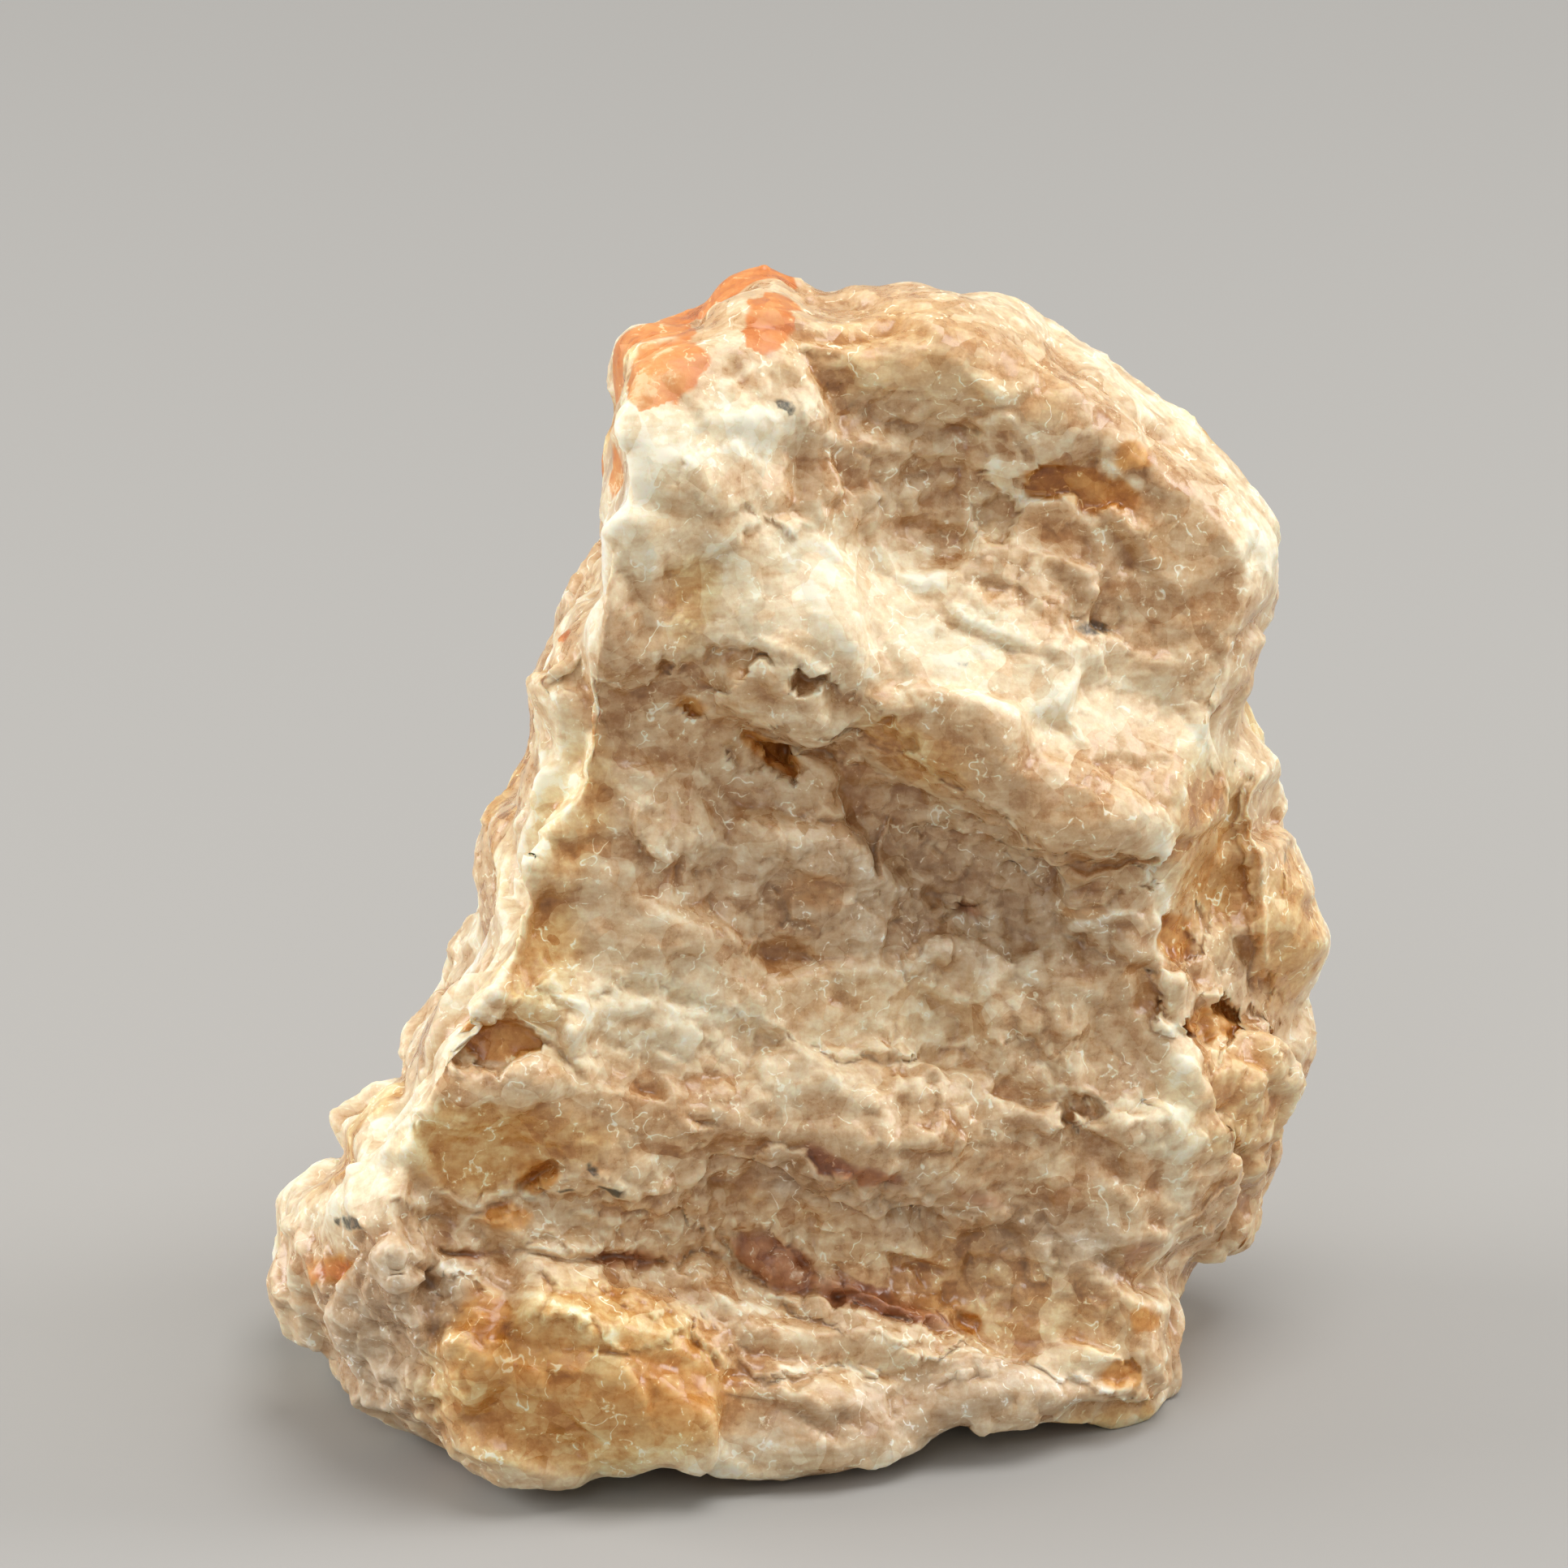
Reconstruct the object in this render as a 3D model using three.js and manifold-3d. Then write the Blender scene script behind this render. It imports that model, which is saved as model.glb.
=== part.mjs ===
// A rough piece of spessartine garnet rock, 25 mm wide and 26 mm tall, that stands on a small flat spot.
// The stone is one solid: massive tan rock with broken ledges, and orange garnet crystals grown into it
// along its upper left edge and over its rear.
// Units are millimetres. In the finished part +Z is up and -Y is the broken front face.

import * as THREE from "three";
import { ImprovedNoise } from "three/addons/math/ImprovedNoise.js";
import { ConvexGeometry } from "three/addons/geometries/ConvexGeometry.js";
import { mergeVertices } from "three/addons/utils/BufferGeometryUtils.js";
import Module from "manifold-3d";

// Driving dimensions of the front: how far the broken face stands forward at the foot, and how much farther
// it comes forward per millimetre to the right and up
const faceForward = 6.0;
const faceTurn = -0.26;
const faceLean = 0.22;

// How much the ledges of the front stand out, as a share of the heights written with them
const ledgeShare = 1.3;

// Driving dimensions of the rest: how far back the rear reaches, how much narrower and lower the rear is
// than the outer edge, how far the underside sags towards the flat spot, and how far forward it sags most
const rearReach = 8.8;
const rearNarrowing = 0.81;
const rearTopDrop = 0.74;
const rearFootRise = 0.97;
const underSag = 0.95;
const sagForward = 0.8;

// How round the turns from the face into the flanks and from the outer edge into the rear are, as powers: 1
// is a quarter circle, less is squarer and 2 is a straight bevel
const flankPower = 1.35;
const rearPower = 0.85;

// Height of the waves on the front and on the rear, and the size of a wave
const frontWaves = 0.12;
const rearWaves = 0.3;
const waveSize = 5.5;

// Broken facets: how far they lean on the front and on the rear, the size of a large and of a small one, the
// lean of the small ones beside the large, and how sharp the edges between them are
const frontLean = 0.42;
const rearLean = 0.7;
const largeFacet = 4.2;
const smallFacet = 2.1;
const smallShare = 0.7;
const facetSharpness = 14;

// The share of the waves and facets that the outer edge goes without
const rimCalm = 0.75;

// Wearing down of the ledges and facets: how far each point moves each time, and how many times
const wearShare = 0.35;
const wearTimes = 2;

// Divisions of the sphere that is shaped into the stone. Its +z pole is the middle of the front. Below
// these heights on the sphere come the flanks, the rear flanks and the rear.
const sphereDivisions = 19;
const faceZone = 0.26;
const flankZone = -0.26;
const rearFlankZone = -0.68;

// Where the underside begins, as the share that a direction points down, and where on a flank the lumps and
// pits of the front start to fade out, as a share of the way to the outer edge
const undersideFrom = [0.45, 0.8];
const spotsFadeFrom = 0.85;

// The front is written as it is seen from one point in front of and above the stone. Each place on it has
// x to the right and y up the face, in millimetres on the plane through the foot of the stone, and a depth
// towards that point.
const viewTilt = THREE.MathUtils.degToRad(20.66);
const viewPoint = new THREE.Vector3(-0.34, 13.74, 209);
const middle = new THREE.Vector2(1.26, 11.2);

// Outer edge of the stone, clockwise from the upper left, as x, y, depth
const outerEdge = [
  [-4.3, 24.1, 6.6], [-3.7, 24.5, 6.6], [-2.6, 24.5, 6.8], [-2.0, 25.1, 6.8], [-1.1, 25.8, 6.8],
  [-0.3, 25.9, 6.8], [0.3, 25.3, 6.8], [1.4, 25.6, 6.7], [2.9, 25.6, 6.6], [3.4, 25.4, 6.5],
  [4.9, 25.3, 6.2], [5.8, 24.8, 5.8], [7.6, 23.5, 5.0], [9.4, 22.0, 4.0], [10.9, 20.8, 3.2],
  [11.3, 19.8, 2.9], [11.3, 18.0, 2.4], [10.8, 16.4, 2.4], [10.4, 15.7, 2.2], [10.5, 14.9, 1.6],
  [11.5, 13.9, 0.8], [11.6, 12.9, 0.4],
  [12.1, 11.2, -0.4], [12.6, 10.0, -1.2], [12.0, 8.7, -1.6], [12.0, 7.2, -2.0], [11.5, 5.4, -2.3],
  [11.0, 3.8, -2.8], [10.7, 2.8, -3.2], [9.9, 2.7, -3.4], [9.6, 2.0, -3.2], [9.2, 0.9, -0.7],
  [8.8, 0.1, 1.2], [8.8, -1.1, 3.7], [8.1, -1.2, 4.0], [6.9, -1.0, 3.7], [5.1, -1.6, 4.9], [2.2, -2.2, 6.2],
  [0.3, -2.4, 6.6], [-2.0, -2.5, 6.8], [-3.5, -2.4, 6.7], [-5.4, -2.7, 7.3], [-6.8, -2.8, 7.4],
  [-7.8, -2.4, 6.6], [-8.8, -1.5, 4.8], [-10.1, -0.9, 3.5], [-11.4, -0.1, 1.9], [-12.1, 0.8, 0.8],
  [-12.6, 2.3, -0.2], [-12.3, 3.5, -0.2], [-12.4, 4.1, 0.0], [-11.9, 4.6, 0.2], [-11.0, 4.7, 0.3],
  [-10.8, 5.6, 0.4], [-10.4, 6.4, 0.6], [-9.6, 6.5, 0.7], [-9.5, 7.5, 0.9], [-8.8, 8.4, 1.2],
  [-8.1, 9.6, 1.6], [-7.9, 10.9, 2.1], [-7.5, 11.5, 2.3], [-7.4, 13.0, 2.7], [-6.8, 14.3, 3.1],
  [-6.4, 15.5, 3.5], [-5.4, 18.0, 4.4], [-4.7, 18.9, 4.8], [-4.6, 20.8, 5.4], [-4.3, 22.0, 5.9],
  [-4.4, 23.0, 6.2],
];

// Edge of the broken front face, where it turns into the flanks, the same way round, as x, y
const faceEdge = [
  [-4.0, 22.8], [-2.9, 23.5], [-1.0, 24.0], [2.0, 24.1], [5.0, 23.3], [7.6, 21.6], [9.8, 20.0],
  [10.9, 18.6], [10.4, 16.0], [10.0, 14.9], [9.2, 14.2], [8.7, 13.0], [8.5, 11.0], [8.7, 9.3], [8.9, 7.4],
  [8.9, 5.0], [8.8, 3.0], [8.7, 1.0], [8.5, -0.5], [6.8, -0.6], [4.0, -1.0], [1.0, -1.5], [-2.5, -1.7],
  [-5.5, -1.9], [-7.2, -1.6], [-8.2, -0.2], [-8.7, 1.6], [-9.1, 3.2], [-8.8, 5.8], [-8.3, 7.7],
  [-7.8, 9.2], [-7.0, 10.7], [-6.4, 12.2], [-5.5, 13.6], [-5.0, 15.6], [-4.6, 18.2], [-4.3, 21.0],
];

// Levels that cross the front face from left to right, from the top down, as x, y, relief. Between two
// levels the relief runs straight, so two levels close together make a ledge.
const faceLevels = Object.values({
  "behind the top": [[-9, 26.0, -0.9], [0, 26.6, -1.1], [6, 26.0, -1.1], [12, 22.0, -1.0]],
  "top of the scoop": [
    [-5, 22.9, -0.2], [-1, 22.8, -0.2], [1.5, 23.1, -0.4], [5, 22.7, -0.5], [8, 21.2, -0.3], [12, 18.6, -0.2],
  ],
  "bottom of the scoop": [
    [-5, 21.4, 0.1], [-1, 21.3, 0.1], [0.8, 21.5, -0.5], [3.2, 21.1, -0.9], [6, 20.6, -0.8],
    [8, 19.8, -0.4], [12, 17.4, -0.1],
  ],
  "foot of the scoop": [
    [-5, 20.0, 0.4], [-1, 19.6, 0.4], [2, 18.9, 0.0], [5, 18.2, -0.2], [8, 17.4, 0.0], [12, 15.8, -0.2],
  ],
  "crest of the brow": [
    [-5.2, 18.0, 0.7], [0.3, 17.3, 0.9], [4.1, 15.5, 0.9], [6.6, 14.0, 1.0], [9, 13.5, 0.7], [12, 13.4, 0.1],
  ],
  "lip of the brow": [
    [-5.8, 16.7, 0.4], [-2.4, 17.0, 0.8], [0.3, 16.4, 0.9], [2.2, 15.1, 0.8], [4.1, 13.6, 0.8],
    [5.8, 12.3, 1.0], [9, 12.2, 0.6], [12, 12.1, 0.0],
  ],
  "foot of the brow": [
    [-5.8, 15.8, 0.1], [-2.4, 16.1, -0.3], [0.3, 15.4, -0.5], [2.2, 14.1, -0.4], [4.1, 12.7, -0.5],
    [5.8, 11.4, -0.5], [9, 11.2, -0.3], [12, 11.2, -0.3],
  ],
  "deepest part of the recess": [
    [-8, 12.6, 0.1], [-4, 13.2, -0.2], [-1, 12.4, -0.7], [2, 11.3, -0.8], [5, 10.4, -0.9], [9, 9.9, -0.5],
    [12, 9.9, -0.4],
  ],
  "back of the shelf": [
    [-9, 9.8, 0.1], [-5, 9.2, 0.0], [-2, 8.9, -0.1], [2, 8.6, -0.4], [5, 8.2, -0.4], [9, 8.2, -0.3],
    [12, 8.0, -0.2],
  ],
  "lip of the shelf": [
    [-10, 6.9, 0.3], [-8, 6.4, 0.6], [-5, 6.3, 0.8], [-2, 5.9, 0.7], [1, 5.5, 0.5], [4, 5.6, 0.4],
    [7, 6.3, 0.4], [12, 6.3, 0.4],
  ],
  "foot of the shelf": [
    [-10, 6.1, 0.2], [-8, 5.5, 0.3], [-5, 5.4, 0.1], [-2, 5.0, 0.0], [1, 4.6, 0.0], [4, 4.7, 0.2],
    [7, 5.4, 0.3], [12, 5.4, 0.3],
  ],
  "middle of the dark band": [
    [-10, 4.2, 0.1], [-6, 4.0, -0.3], [-2, 3.8, -0.5], [1, 3.4, -0.5], [4, 3.2, -0.1], [12, 3.2, 0.0],
  ],
  "crease above the bulge": [
    [-10, 2.9, 0.0], [-6, 2.6, -0.4], [-2, 2.2, -0.5], [1, 1.6, -0.3], [4, 0.7, 0.0], [8, 0.0, 0.2],
    [12, 0.0, 0.2],
  ],
  "top of the bulge": [
    [-10, 2.1, 0.2], [-6, 1.8, 0.5], [-2, 1.2, 0.5], [1, 0.6, 0.5], [4, -0.1, 0.5], [8, -0.7, 0.6],
    [12, -0.7, 0.6],
  ],
  "crest of the bulge": [
    [-10, 0.2, 0.3], [-6, 0.0, 1.1], [-2, -0.4, 1.2], [2, -0.9, 1.1], [5, -1.2, 1.0], [12, -1.4, 0.8],
  ],
  "foot of the stone": [[-10, -3.0, 0.0], [-6, -3.2, 0.6], [0, -3.2, 0.9], [6, -2.8, 0.8], [12, -2.8, 0.6]],
});

// Lumps (height above 0) and pits (below 0) on the front and its flanks, as x, y, half width, half height
// and height
const faceSpots = Object.values({
  "upper left shoulder": [-3.0, 20.8, 1.8, 2.2, 0.4],
  "pale nub under the brow": [-0.8, 15.7, 1.2, 0.5, 0.8],
  "brown hole under the nub": [-0.7, 14.6, 1.0, 0.5, -1.0],
  "smooth bulge at the right end of the brow": [6.9, 12.9, 1.9, 0.9, 0.4],
  "three-cornered pit": [3.9, 10.8, 0.5, 0.5, -0.7],
  "flake in the recess": [3.2, 9.7, 0.8, 0.5, 0.4],
  "amber slot": [-7.0, 7.6, 1.4, 0.5, -0.6],
  "smooth dip under the shelf": [-6.8, 5.2, 1.6, 1.1, -0.4],
  "notch in the shelf": [7.3, 6.7, 0.7, 0.5, -0.8],
  "lump at the right end of the shelf": [8.0, 5.8, 0.9, 0.6, 0.5],
  "first grain": [4.8, 2.9, 0.7, 0.6, 0.35],
  "second grain": [6.1, 3.3, 0.6, 0.6, 0.35],
  "third grain": [6.9, 2.3, 0.7, 0.6, 0.3],
  "fourth grain": [5.4, 1.7, 0.7, 0.5, 0.3],
  "lens of the bulge": [-5.2, 0.2, 3.4, 2.2, 0.5],
  "hollow of the right flank": [9.9, 12.3, 1.3, 2.6, -1.1],
  "rib of the right flank": [11.0, 12.2, 0.5, 2.9, 0.5],
  "lobe of the right flank": [11.9, 10.4, 1.0, 1.8, 0.6],
  "flake over the hole": [9.2, 9.0, 0.9, 0.8, 0.9],
  "hole under the flake": [10.1, 7.9, 0.9, 0.8, -1.2],
  "lower right corner": [10.1, 3.9, 1.0, 1.0, 0.9],
  "undercut below the corner": [9.8, 1.4, 0.8, 1.1, -1.3],
  "lower left block": [-10.6, 2.6, 2.2, 3.0, 1.5],
  "groove beside the block": [-8.6, 2.8, 0.6, 2.6, -0.8],
});

// Broken planes of the rear: how far back each one is at the middle of the rear, and its slope to the right
// and up
const rearMiddle = new THREE.Vector2(0, 11);
const rearPlanes = [
  [8.4, 0.05, 0.04],
  [10.6, -0.52, 0.10],
  [11.4, 0.62, 0.12],
  [10.2, 0.22, -0.42],
  [11.2, -0.45, -0.40],
  [9.6, 0.10, 0.22],
  [11.8, -0.20, 0.50],
];

// Garnet crystals along the upper left edge, and behind the left edge below it: x, y, depth, radius
const edgeCrystals = [
  [-3.2, 23.4, 6.7, 1.35],
  [-0.9, 24.8, 6.4, 1.25],
  [-2.3, 24.0, 5.6, 1.2],
  [-3.0, 21.0, 1.8, 1.7],
  [-3.8, 17.8, 0.4, 1.8],
  [-4.9, 15.0, -0.8, 1.8],
  [-5.7, 12.4, -1.8, 1.8],
  [-6.4, 9.6, -2.8, 1.7],
];

// Garnet crystals of the rear: X, Z, radius. Each is sunk into the rear by a share of its radius.
const rearCrystals = [
  [-1.0, 20.6, 2.8], [1.8, 21.4, 2.0], [3.7, 19.2, 1.7], [-2.9, 17.8, 2.1], [0.5, 17.2, 3.1],
  [3.4, 16.2, 1.9], [-3.7, 14.0, 2.5], [-1.1, 13.6, 2.3], [-5.3, 10.6, 2.0], [-2.8, 10.4, 1.8],
  [-6.6, 6.8, 1.8], [5.4, 13.8, 1.5], [1.6, 12.9, 1.7], [-0.4, 10.2, 1.3], [-4.3, 7.4, 1.4],
];
const crystalSink = 0.55;

// Flat broken facets of the rear: the way each one faces, and how far it cuts in from the farthest point
const chips = [
  [0.66, 0.75, 0.05, 1.0],
  [-0.60, 0.80, 0.10, 1.1],
  [0.05, 0.88, 0.47, 1.3],
  [0.40, 0.85, 0.35, 1.0],
  [-0.55, 0.75, -0.35, 1.3],
  [0.50, 0.80, -0.33, 1.3],
  [0.00, 0.96, -0.28, 0.7],
];

// Steps broken out of the lower left edge: the corner of each as x, y, and its turn in degrees
const edgeSteps = [
  [-9.55, 6.55, 3],
  [-11.0, 4.75, -4],
];
const stepSize = 12;
const cutterSize = 60;

const noise = new ImprovedNoise();
const { lerp, smoothstep, degToRad } = THREE.MathUtils;

// Noise of several sizes: the first waves are size long, each further layer is half as long and half as high
function roughness(point, size, layers) {
  let sum = 0;
  let height = 1;
  let scale = 1 / size;
  for (let layer = 0; layer < layers; layer += 1) {
    sum += height * noise.noise(point.x * scale + 7.3, point.y * scale + 3.1, point.z * scale + 1.7 * layer);
    height *= 0.5;
    scale *= 2.03;
  }
  return sum;
}

// Three numbers from 0 to 1 that are scattered but always the same for one cell
function scattered(cell, turn) {
  const numbers = [12.99, 78.23, 37.72].map((step) => {
    const large = 4375.85 * Math.sin(step * cell.x + 1.7 * step * cell.y + 2.9 * step * cell.z + turn);
    return large - Math.floor(large);
  });
  return new THREE.Vector3(...numbers);
}

// Broken facets: each cell of one size is a plane that leans its own way, and the nearest cells count
function facets(point, size) {
  const place = point.clone().divideScalar(size);
  const base = place.clone().floor();
  const near = [];
  for (let i = 0; i < 27; i += 1) {
    const cell = new THREE.Vector3((i % 3) - 1, (Math.floor(i / 3) % 3) - 1, Math.floor(i / 9) - 1).add(base);
    const inward = scattered(cell, 1.3).add(cell).negate().add(place);
    const lean = scattered(cell, 4.1).subScalar(0.5);
    near.push([inward.length(), lean.dot(inward)]);
  }
  const nearest = Math.min(...near.map(([distance]) => distance));
  let sum = 0;
  let weights = 0;
  for (const [distance, height] of near) {
    const weight = Math.exp(facetSharpness * (nearest - distance));
    sum += weight * height;
    weights += weight;
  }
  return (size * sum) / weights;
}

// Value of one column at x along a level
function along(level, x, column) {
  const last = level.length - 1;
  if (x <= level[0][0]) {
    return level[0][column];
  }
  for (let i = 0; i < last; i += 1) {
    if (x <= level[i + 1][0]) {
      const part = (x - level[i][0]) / (level[i + 1][0] - level[i][0]);
      return lerp(level[i][column], level[i + 1][column], part);
    }
  }
  return level[last][column];
}

// Where the ray from the middle in one direction leaves a closed outline; the far crossing counts
function crossing(outline, direction) {
  let best = null;
  let farthest = -1;
  for (let i = 0; i < outline.length; i += 1) {
    const start = outline[i];
    const end = outline[(i + 1) % outline.length];
    const startSide = direction.x * (start[1] - middle.y) - direction.y * (start[0] - middle.x);
    const endSide = direction.x * (end[1] - middle.y) - direction.y * (end[0] - middle.x);
    if (startSide * endSide > 0 || startSide === endSide) {
      continue;
    }
    const part = startSide / (startSide - endSide);
    const point = start.map((value, column) => lerp(value, end[column], part));
    const distance = direction.x * (point[0] - middle.x) + direction.y * (point[1] - middle.y);
    if (distance > farthest) {
      farthest = distance;
      best = point;
    }
  }
  return best;
}

// Relief of the front face between its levels
function levelRelief(x, y) {
  for (let i = 0; i < faceLevels.length - 1; i += 1) {
    const upper = along(faceLevels[i], x, 1);
    const lower = along(faceLevels[i + 1], x, 1);
    if (y <= upper && y >= lower) {
      const part = (upper - y) / Math.max(upper - lower, 0.01);
      return lerp(along(faceLevels[i], x, 2), along(faceLevels[i + 1], x, 2), part);
    }
  }
  const nearest = y > middle.y ? faceLevels[0] : faceLevels[faceLevels.length - 1];
  return along(nearest, x, 2);
}

// Height of the lumps and pits at one place on the front
function spotRelief(x, y) {
  let sum = 0;
  for (const [spotX, spotY, halfWidth, halfHeight, height] of faceSpots) {
    const distance = Math.hypot((x - spotX) / halfWidth, (y - spotY) / halfHeight);
    sum += height * (1 - smoothstep(distance, 0.25, 1.2));
  }
  return sum;
}

// Depth of the broken face before the lumps and pits
function faceDepth(x, y) {
  return faceForward + faceTurn * x + faceLean * y + ledgeShare * levelRelief(x, y);
}

// Point of the finished frame for a place seen on the front at a depth
function placeSeen(x, y, depth) {
  const near = 1 - depth / viewPoint.z;
  const point = new THREE.Vector3(
    viewPoint.x + (x - viewPoint.x) * near,
    viewPoint.y + (y - viewPoint.y) * near,
    depth,
  );
  return point.applyAxisAngle(new THREE.Vector3(1, 0, 0), Math.PI / 2 - viewTilt);
}

// How far back the rear is at one place of the finished frame
function rearDepth(x, z) {
  const right = x - rearMiddle.x;
  const up = z - rearMiddle.y;
  const depths = rearPlanes.map(([depth, slopeRight, slopeUp]) => depth + slopeRight * right + slopeUp * up);
  return Math.min(rearReach, ...depths);
}

function placeOnFace(edge, height) {
  const part = Math.sqrt((1 - height) / (1 - faceZone));
  const x = lerp(middle.x, edge[0], part);
  const y = lerp(middle.y, edge[1], part);
  return placeSeen(x, y, faceDepth(x, y) + spotRelief(x, y));
}

function placeOnFlank(edge, rim, height) {
  const turn = (Math.PI / 2) * (faceZone - height) / (faceZone - flankZone);
  const outward = Math.sin(turn) ** flankPower;
  const drop = 1 - Math.cos(turn) ** flankPower;
  const x = lerp(edge[0], rim[0], outward);
  const y = lerp(edge[1], rim[1], outward);
  const depth = lerp(faceDepth(edge[0], edge[1]), rim[2], drop);
  const fade = 1 - smoothstep(outward, spotsFadeFrom, 1.0);
  return placeSeen(x, y, depth + spotRelief(x, y) * fade);
}

// Rear flank, from the outer edge to the turn into the rear. Under the stone it sags towards the flat spot.
function placeOnRearFlank(rimPoint, rearX, rearZ, downward, height) {
  const turn = (Math.PI / 2) * (flankZone - height) / (flankZone - rearFlankZone);
  const inward = 1 - Math.cos(turn) ** rearPower;
  const back = Math.sin(turn) ** rearPower;
  const sag = underSag * smoothstep(downward, ...undersideFrom) * Math.sin(Math.PI * back ** sagForward);
  return new THREE.Vector3(
    lerp(rimPoint.x, rearX, inward),
    lerp(rimPoint.y, rearDepth(rearX, rearZ), back),
    lerp(rimPoint.z, rearZ, inward) - sag,
  );
}

function placeOnRear(rearX, rearZ, height) {
  const part = Math.sqrt((1 + height) / (1 + rearFlankZone));
  const x = lerp(rearMiddle.x, rearX, part);
  const z = lerp(rearMiddle.y, rearZ, part);
  return new THREE.Vector3(x, rearDepth(x, z), z);
}

// Point of the stone for a direction on the sphere
function placeOnStone(direction) {
  const around = new THREE.Vector2(direction.x, direction.y);
  if (around.length() < 1e-6) {
    around.set(1, 0);
  }
  around.normalize();
  const edge = crossing(faceEdge, around);
  const rim = crossing(outerEdge, around);
  if (direction.z >= faceZone) {
    return placeOnFace(edge, direction.z);
  }
  if (direction.z >= flankZone) {
    return placeOnFlank(edge, rim, direction.z);
  }
  const rimPoint = placeSeen(rim[0], rim[1], rim[2]);
  const lowering = rimPoint.z > rearMiddle.y ? rearTopDrop : rearFootRise;
  const rearX = rearMiddle.x + (rimPoint.x - rearMiddle.x) * rearNarrowing;
  const rearZ = rearMiddle.y + (rimPoint.z - rearMiddle.y) * lowering;
  if (direction.z >= rearFlankZone) {
    return placeOnRearFlank(rimPoint, rearX, rearZ, -around.y, direction.z);
  }
  return placeOnRear(rearX, rearZ, direction.z);
}

// Wears the saw-teeth off the ledges and facets, and leaves the outer rim: each point moves part of the way
// to the middle of its neighbours
function wear(body, rimShare) {
  const position = body.getAttribute("position");
  const index = body.getIndex();
  const point = new THREE.Vector3();
  for (let time = 0; time < wearTimes; time += 1) {
    const sums = Array.from({ length: position.count }, () => new THREE.Vector3());
    const counts = new Array(position.count).fill(0);
    for (let corner = 0; corner < index.count; corner += 1) {
      const next = corner % 3 === 2 ? corner - 2 : corner + 1;
      const here = index.getX(corner);
      sums[here].add(point.fromBufferAttribute(position, index.getX(next)));
      counts[here] += 1;
    }
    for (let i = 0; i < position.count; i += 1) {
      const middleOfNeighbours = sums[i].divideScalar(counts[i]);
      point.fromBufferAttribute(position, i).lerp(middleOfNeighbours, wearShare * (1 - rimShare[i]));
      position.setXYZ(i, point.x, point.y, point.z);
    }
  }
}

// Pushes each point of the body in or out along its normal, least at the outer rim and most over the rear
function roughen(body, frontShare, rimShare) {
  body.computeVertexNormals();
  const position = body.getAttribute("position");
  const normal = body.getAttribute("normal");
  const point = new THREE.Vector3();
  const outward = new THREE.Vector3();
  for (let i = 0; i < position.count; i += 1) {
    point.fromBufferAttribute(position, i);
    outward.fromBufferAttribute(normal, i);
    const wave = lerp(rearWaves, frontWaves, frontShare[i]) * roughness(point, waveSize, 3);
    const lean = lerp(rearLean, frontLean, frontShare[i]);
    const broken = lean * (facets(point, largeFacet) + smallShare * facets(point, smallFacet));
    point.addScaledVector(outward, (wave + broken) * (1 - rimCalm * rimShare[i]));
    position.setXYZ(i, point.x, point.y, point.z);
  }
}

// Closed rough body: an evenly divided sphere placed on the stone, roughened and worn
function roughBody() {
  const sphere = new THREE.IcosahedronGeometry(1, sphereDivisions);
  sphere.deleteAttribute("normal");
  sphere.deleteAttribute("uv");
  const body = mergeVertices(sphere, 1e-5);
  const position = body.getAttribute("position");
  const direction = new THREE.Vector3();
  const frontShare = [];
  const rimShare = [];
  for (let i = 0; i < position.count; i += 1) {
    direction.fromBufferAttribute(position, i).normalize();
    frontShare.push(smoothstep(direction.z, flankZone - 0.15, faceZone));
    rimShare.push(1 - smoothstep(Math.abs(direction.z - flankZone), 0.05, 0.45));
    position.setXYZ(i, ...placeOnStone(direction));
  }
  roughen(body, frontShare, rimShare);
  wear(body, rimShare);
  return body;
}

// Rhombic dodecahedron, the twelve-sided form of a garnet crystal
function crystalForm(radius) {
  const corners = [];
  for (const x of [-1, 1]) {
    for (const y of [-1, 1]) {
      for (const z of [-1, 1]) {
        corners.push(new THREE.Vector3(x, y, z));
      }
    }
    corners.push(new THREE.Vector3(2 * x, 0, 0));
    corners.push(new THREE.Vector3(0, 2 * x, 0));
    corners.push(new THREE.Vector3(0, 0, 2 * x));
  }
  const form = new ConvexGeometry(corners);
  form.scale(radius / 2, radius / 2, radius / 2);
  return form;
}

// Solid for joining and cutting from a closed geometry
function solidFrom(wasm, geometry) {
  const plain = geometry.clone();
  plain.deleteAttribute("normal");
  plain.deleteAttribute("uv");
  const merged = mergeVertices(plain, 1e-4);
  return new wasm.Manifold(new wasm.Mesh({
    numProp: 3,
    vertProperties: new Float32Array(merged.getAttribute("position").array),
    triVerts: new Uint32Array(merged.getIndex().array),
  }));
}

function geometryFrom(solid) {
  const mesh = solid.getMesh();
  const geometry = new THREE.BufferGeometry();
  geometry.setAttribute("position", new THREE.BufferAttribute(mesh.vertProperties, 3));
  geometry.setIndex(new THREE.BufferAttribute(mesh.triVerts, 1));
  return geometry;
}

// Cuts off what lies beyond a flat facet
function chipped(wasm, solid, [x, y, z, depth]) {
  const facing = new THREE.Vector3(x, y, z).normalize();
  const corners = solid.getMesh().vertProperties;
  let farthest = -Infinity;
  for (let i = 0; i < corners.length; i += 3) {
    const corner = new THREE.Vector3().fromArray(corners, i);
    farthest = Math.max(farthest, facing.dot(corner));
  }
  const cutter = new THREE.BoxGeometry(cutterSize, cutterSize, cutterSize);
  cutter.translate(0, 0, cutterSize / 2 + farthest - depth);
  cutter.applyQuaternion(new THREE.Quaternion().setFromUnitVectors(new THREE.Vector3(0, 0, 1), facing));
  return solid.subtract(solidFrom(wasm, cutter));
}

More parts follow.
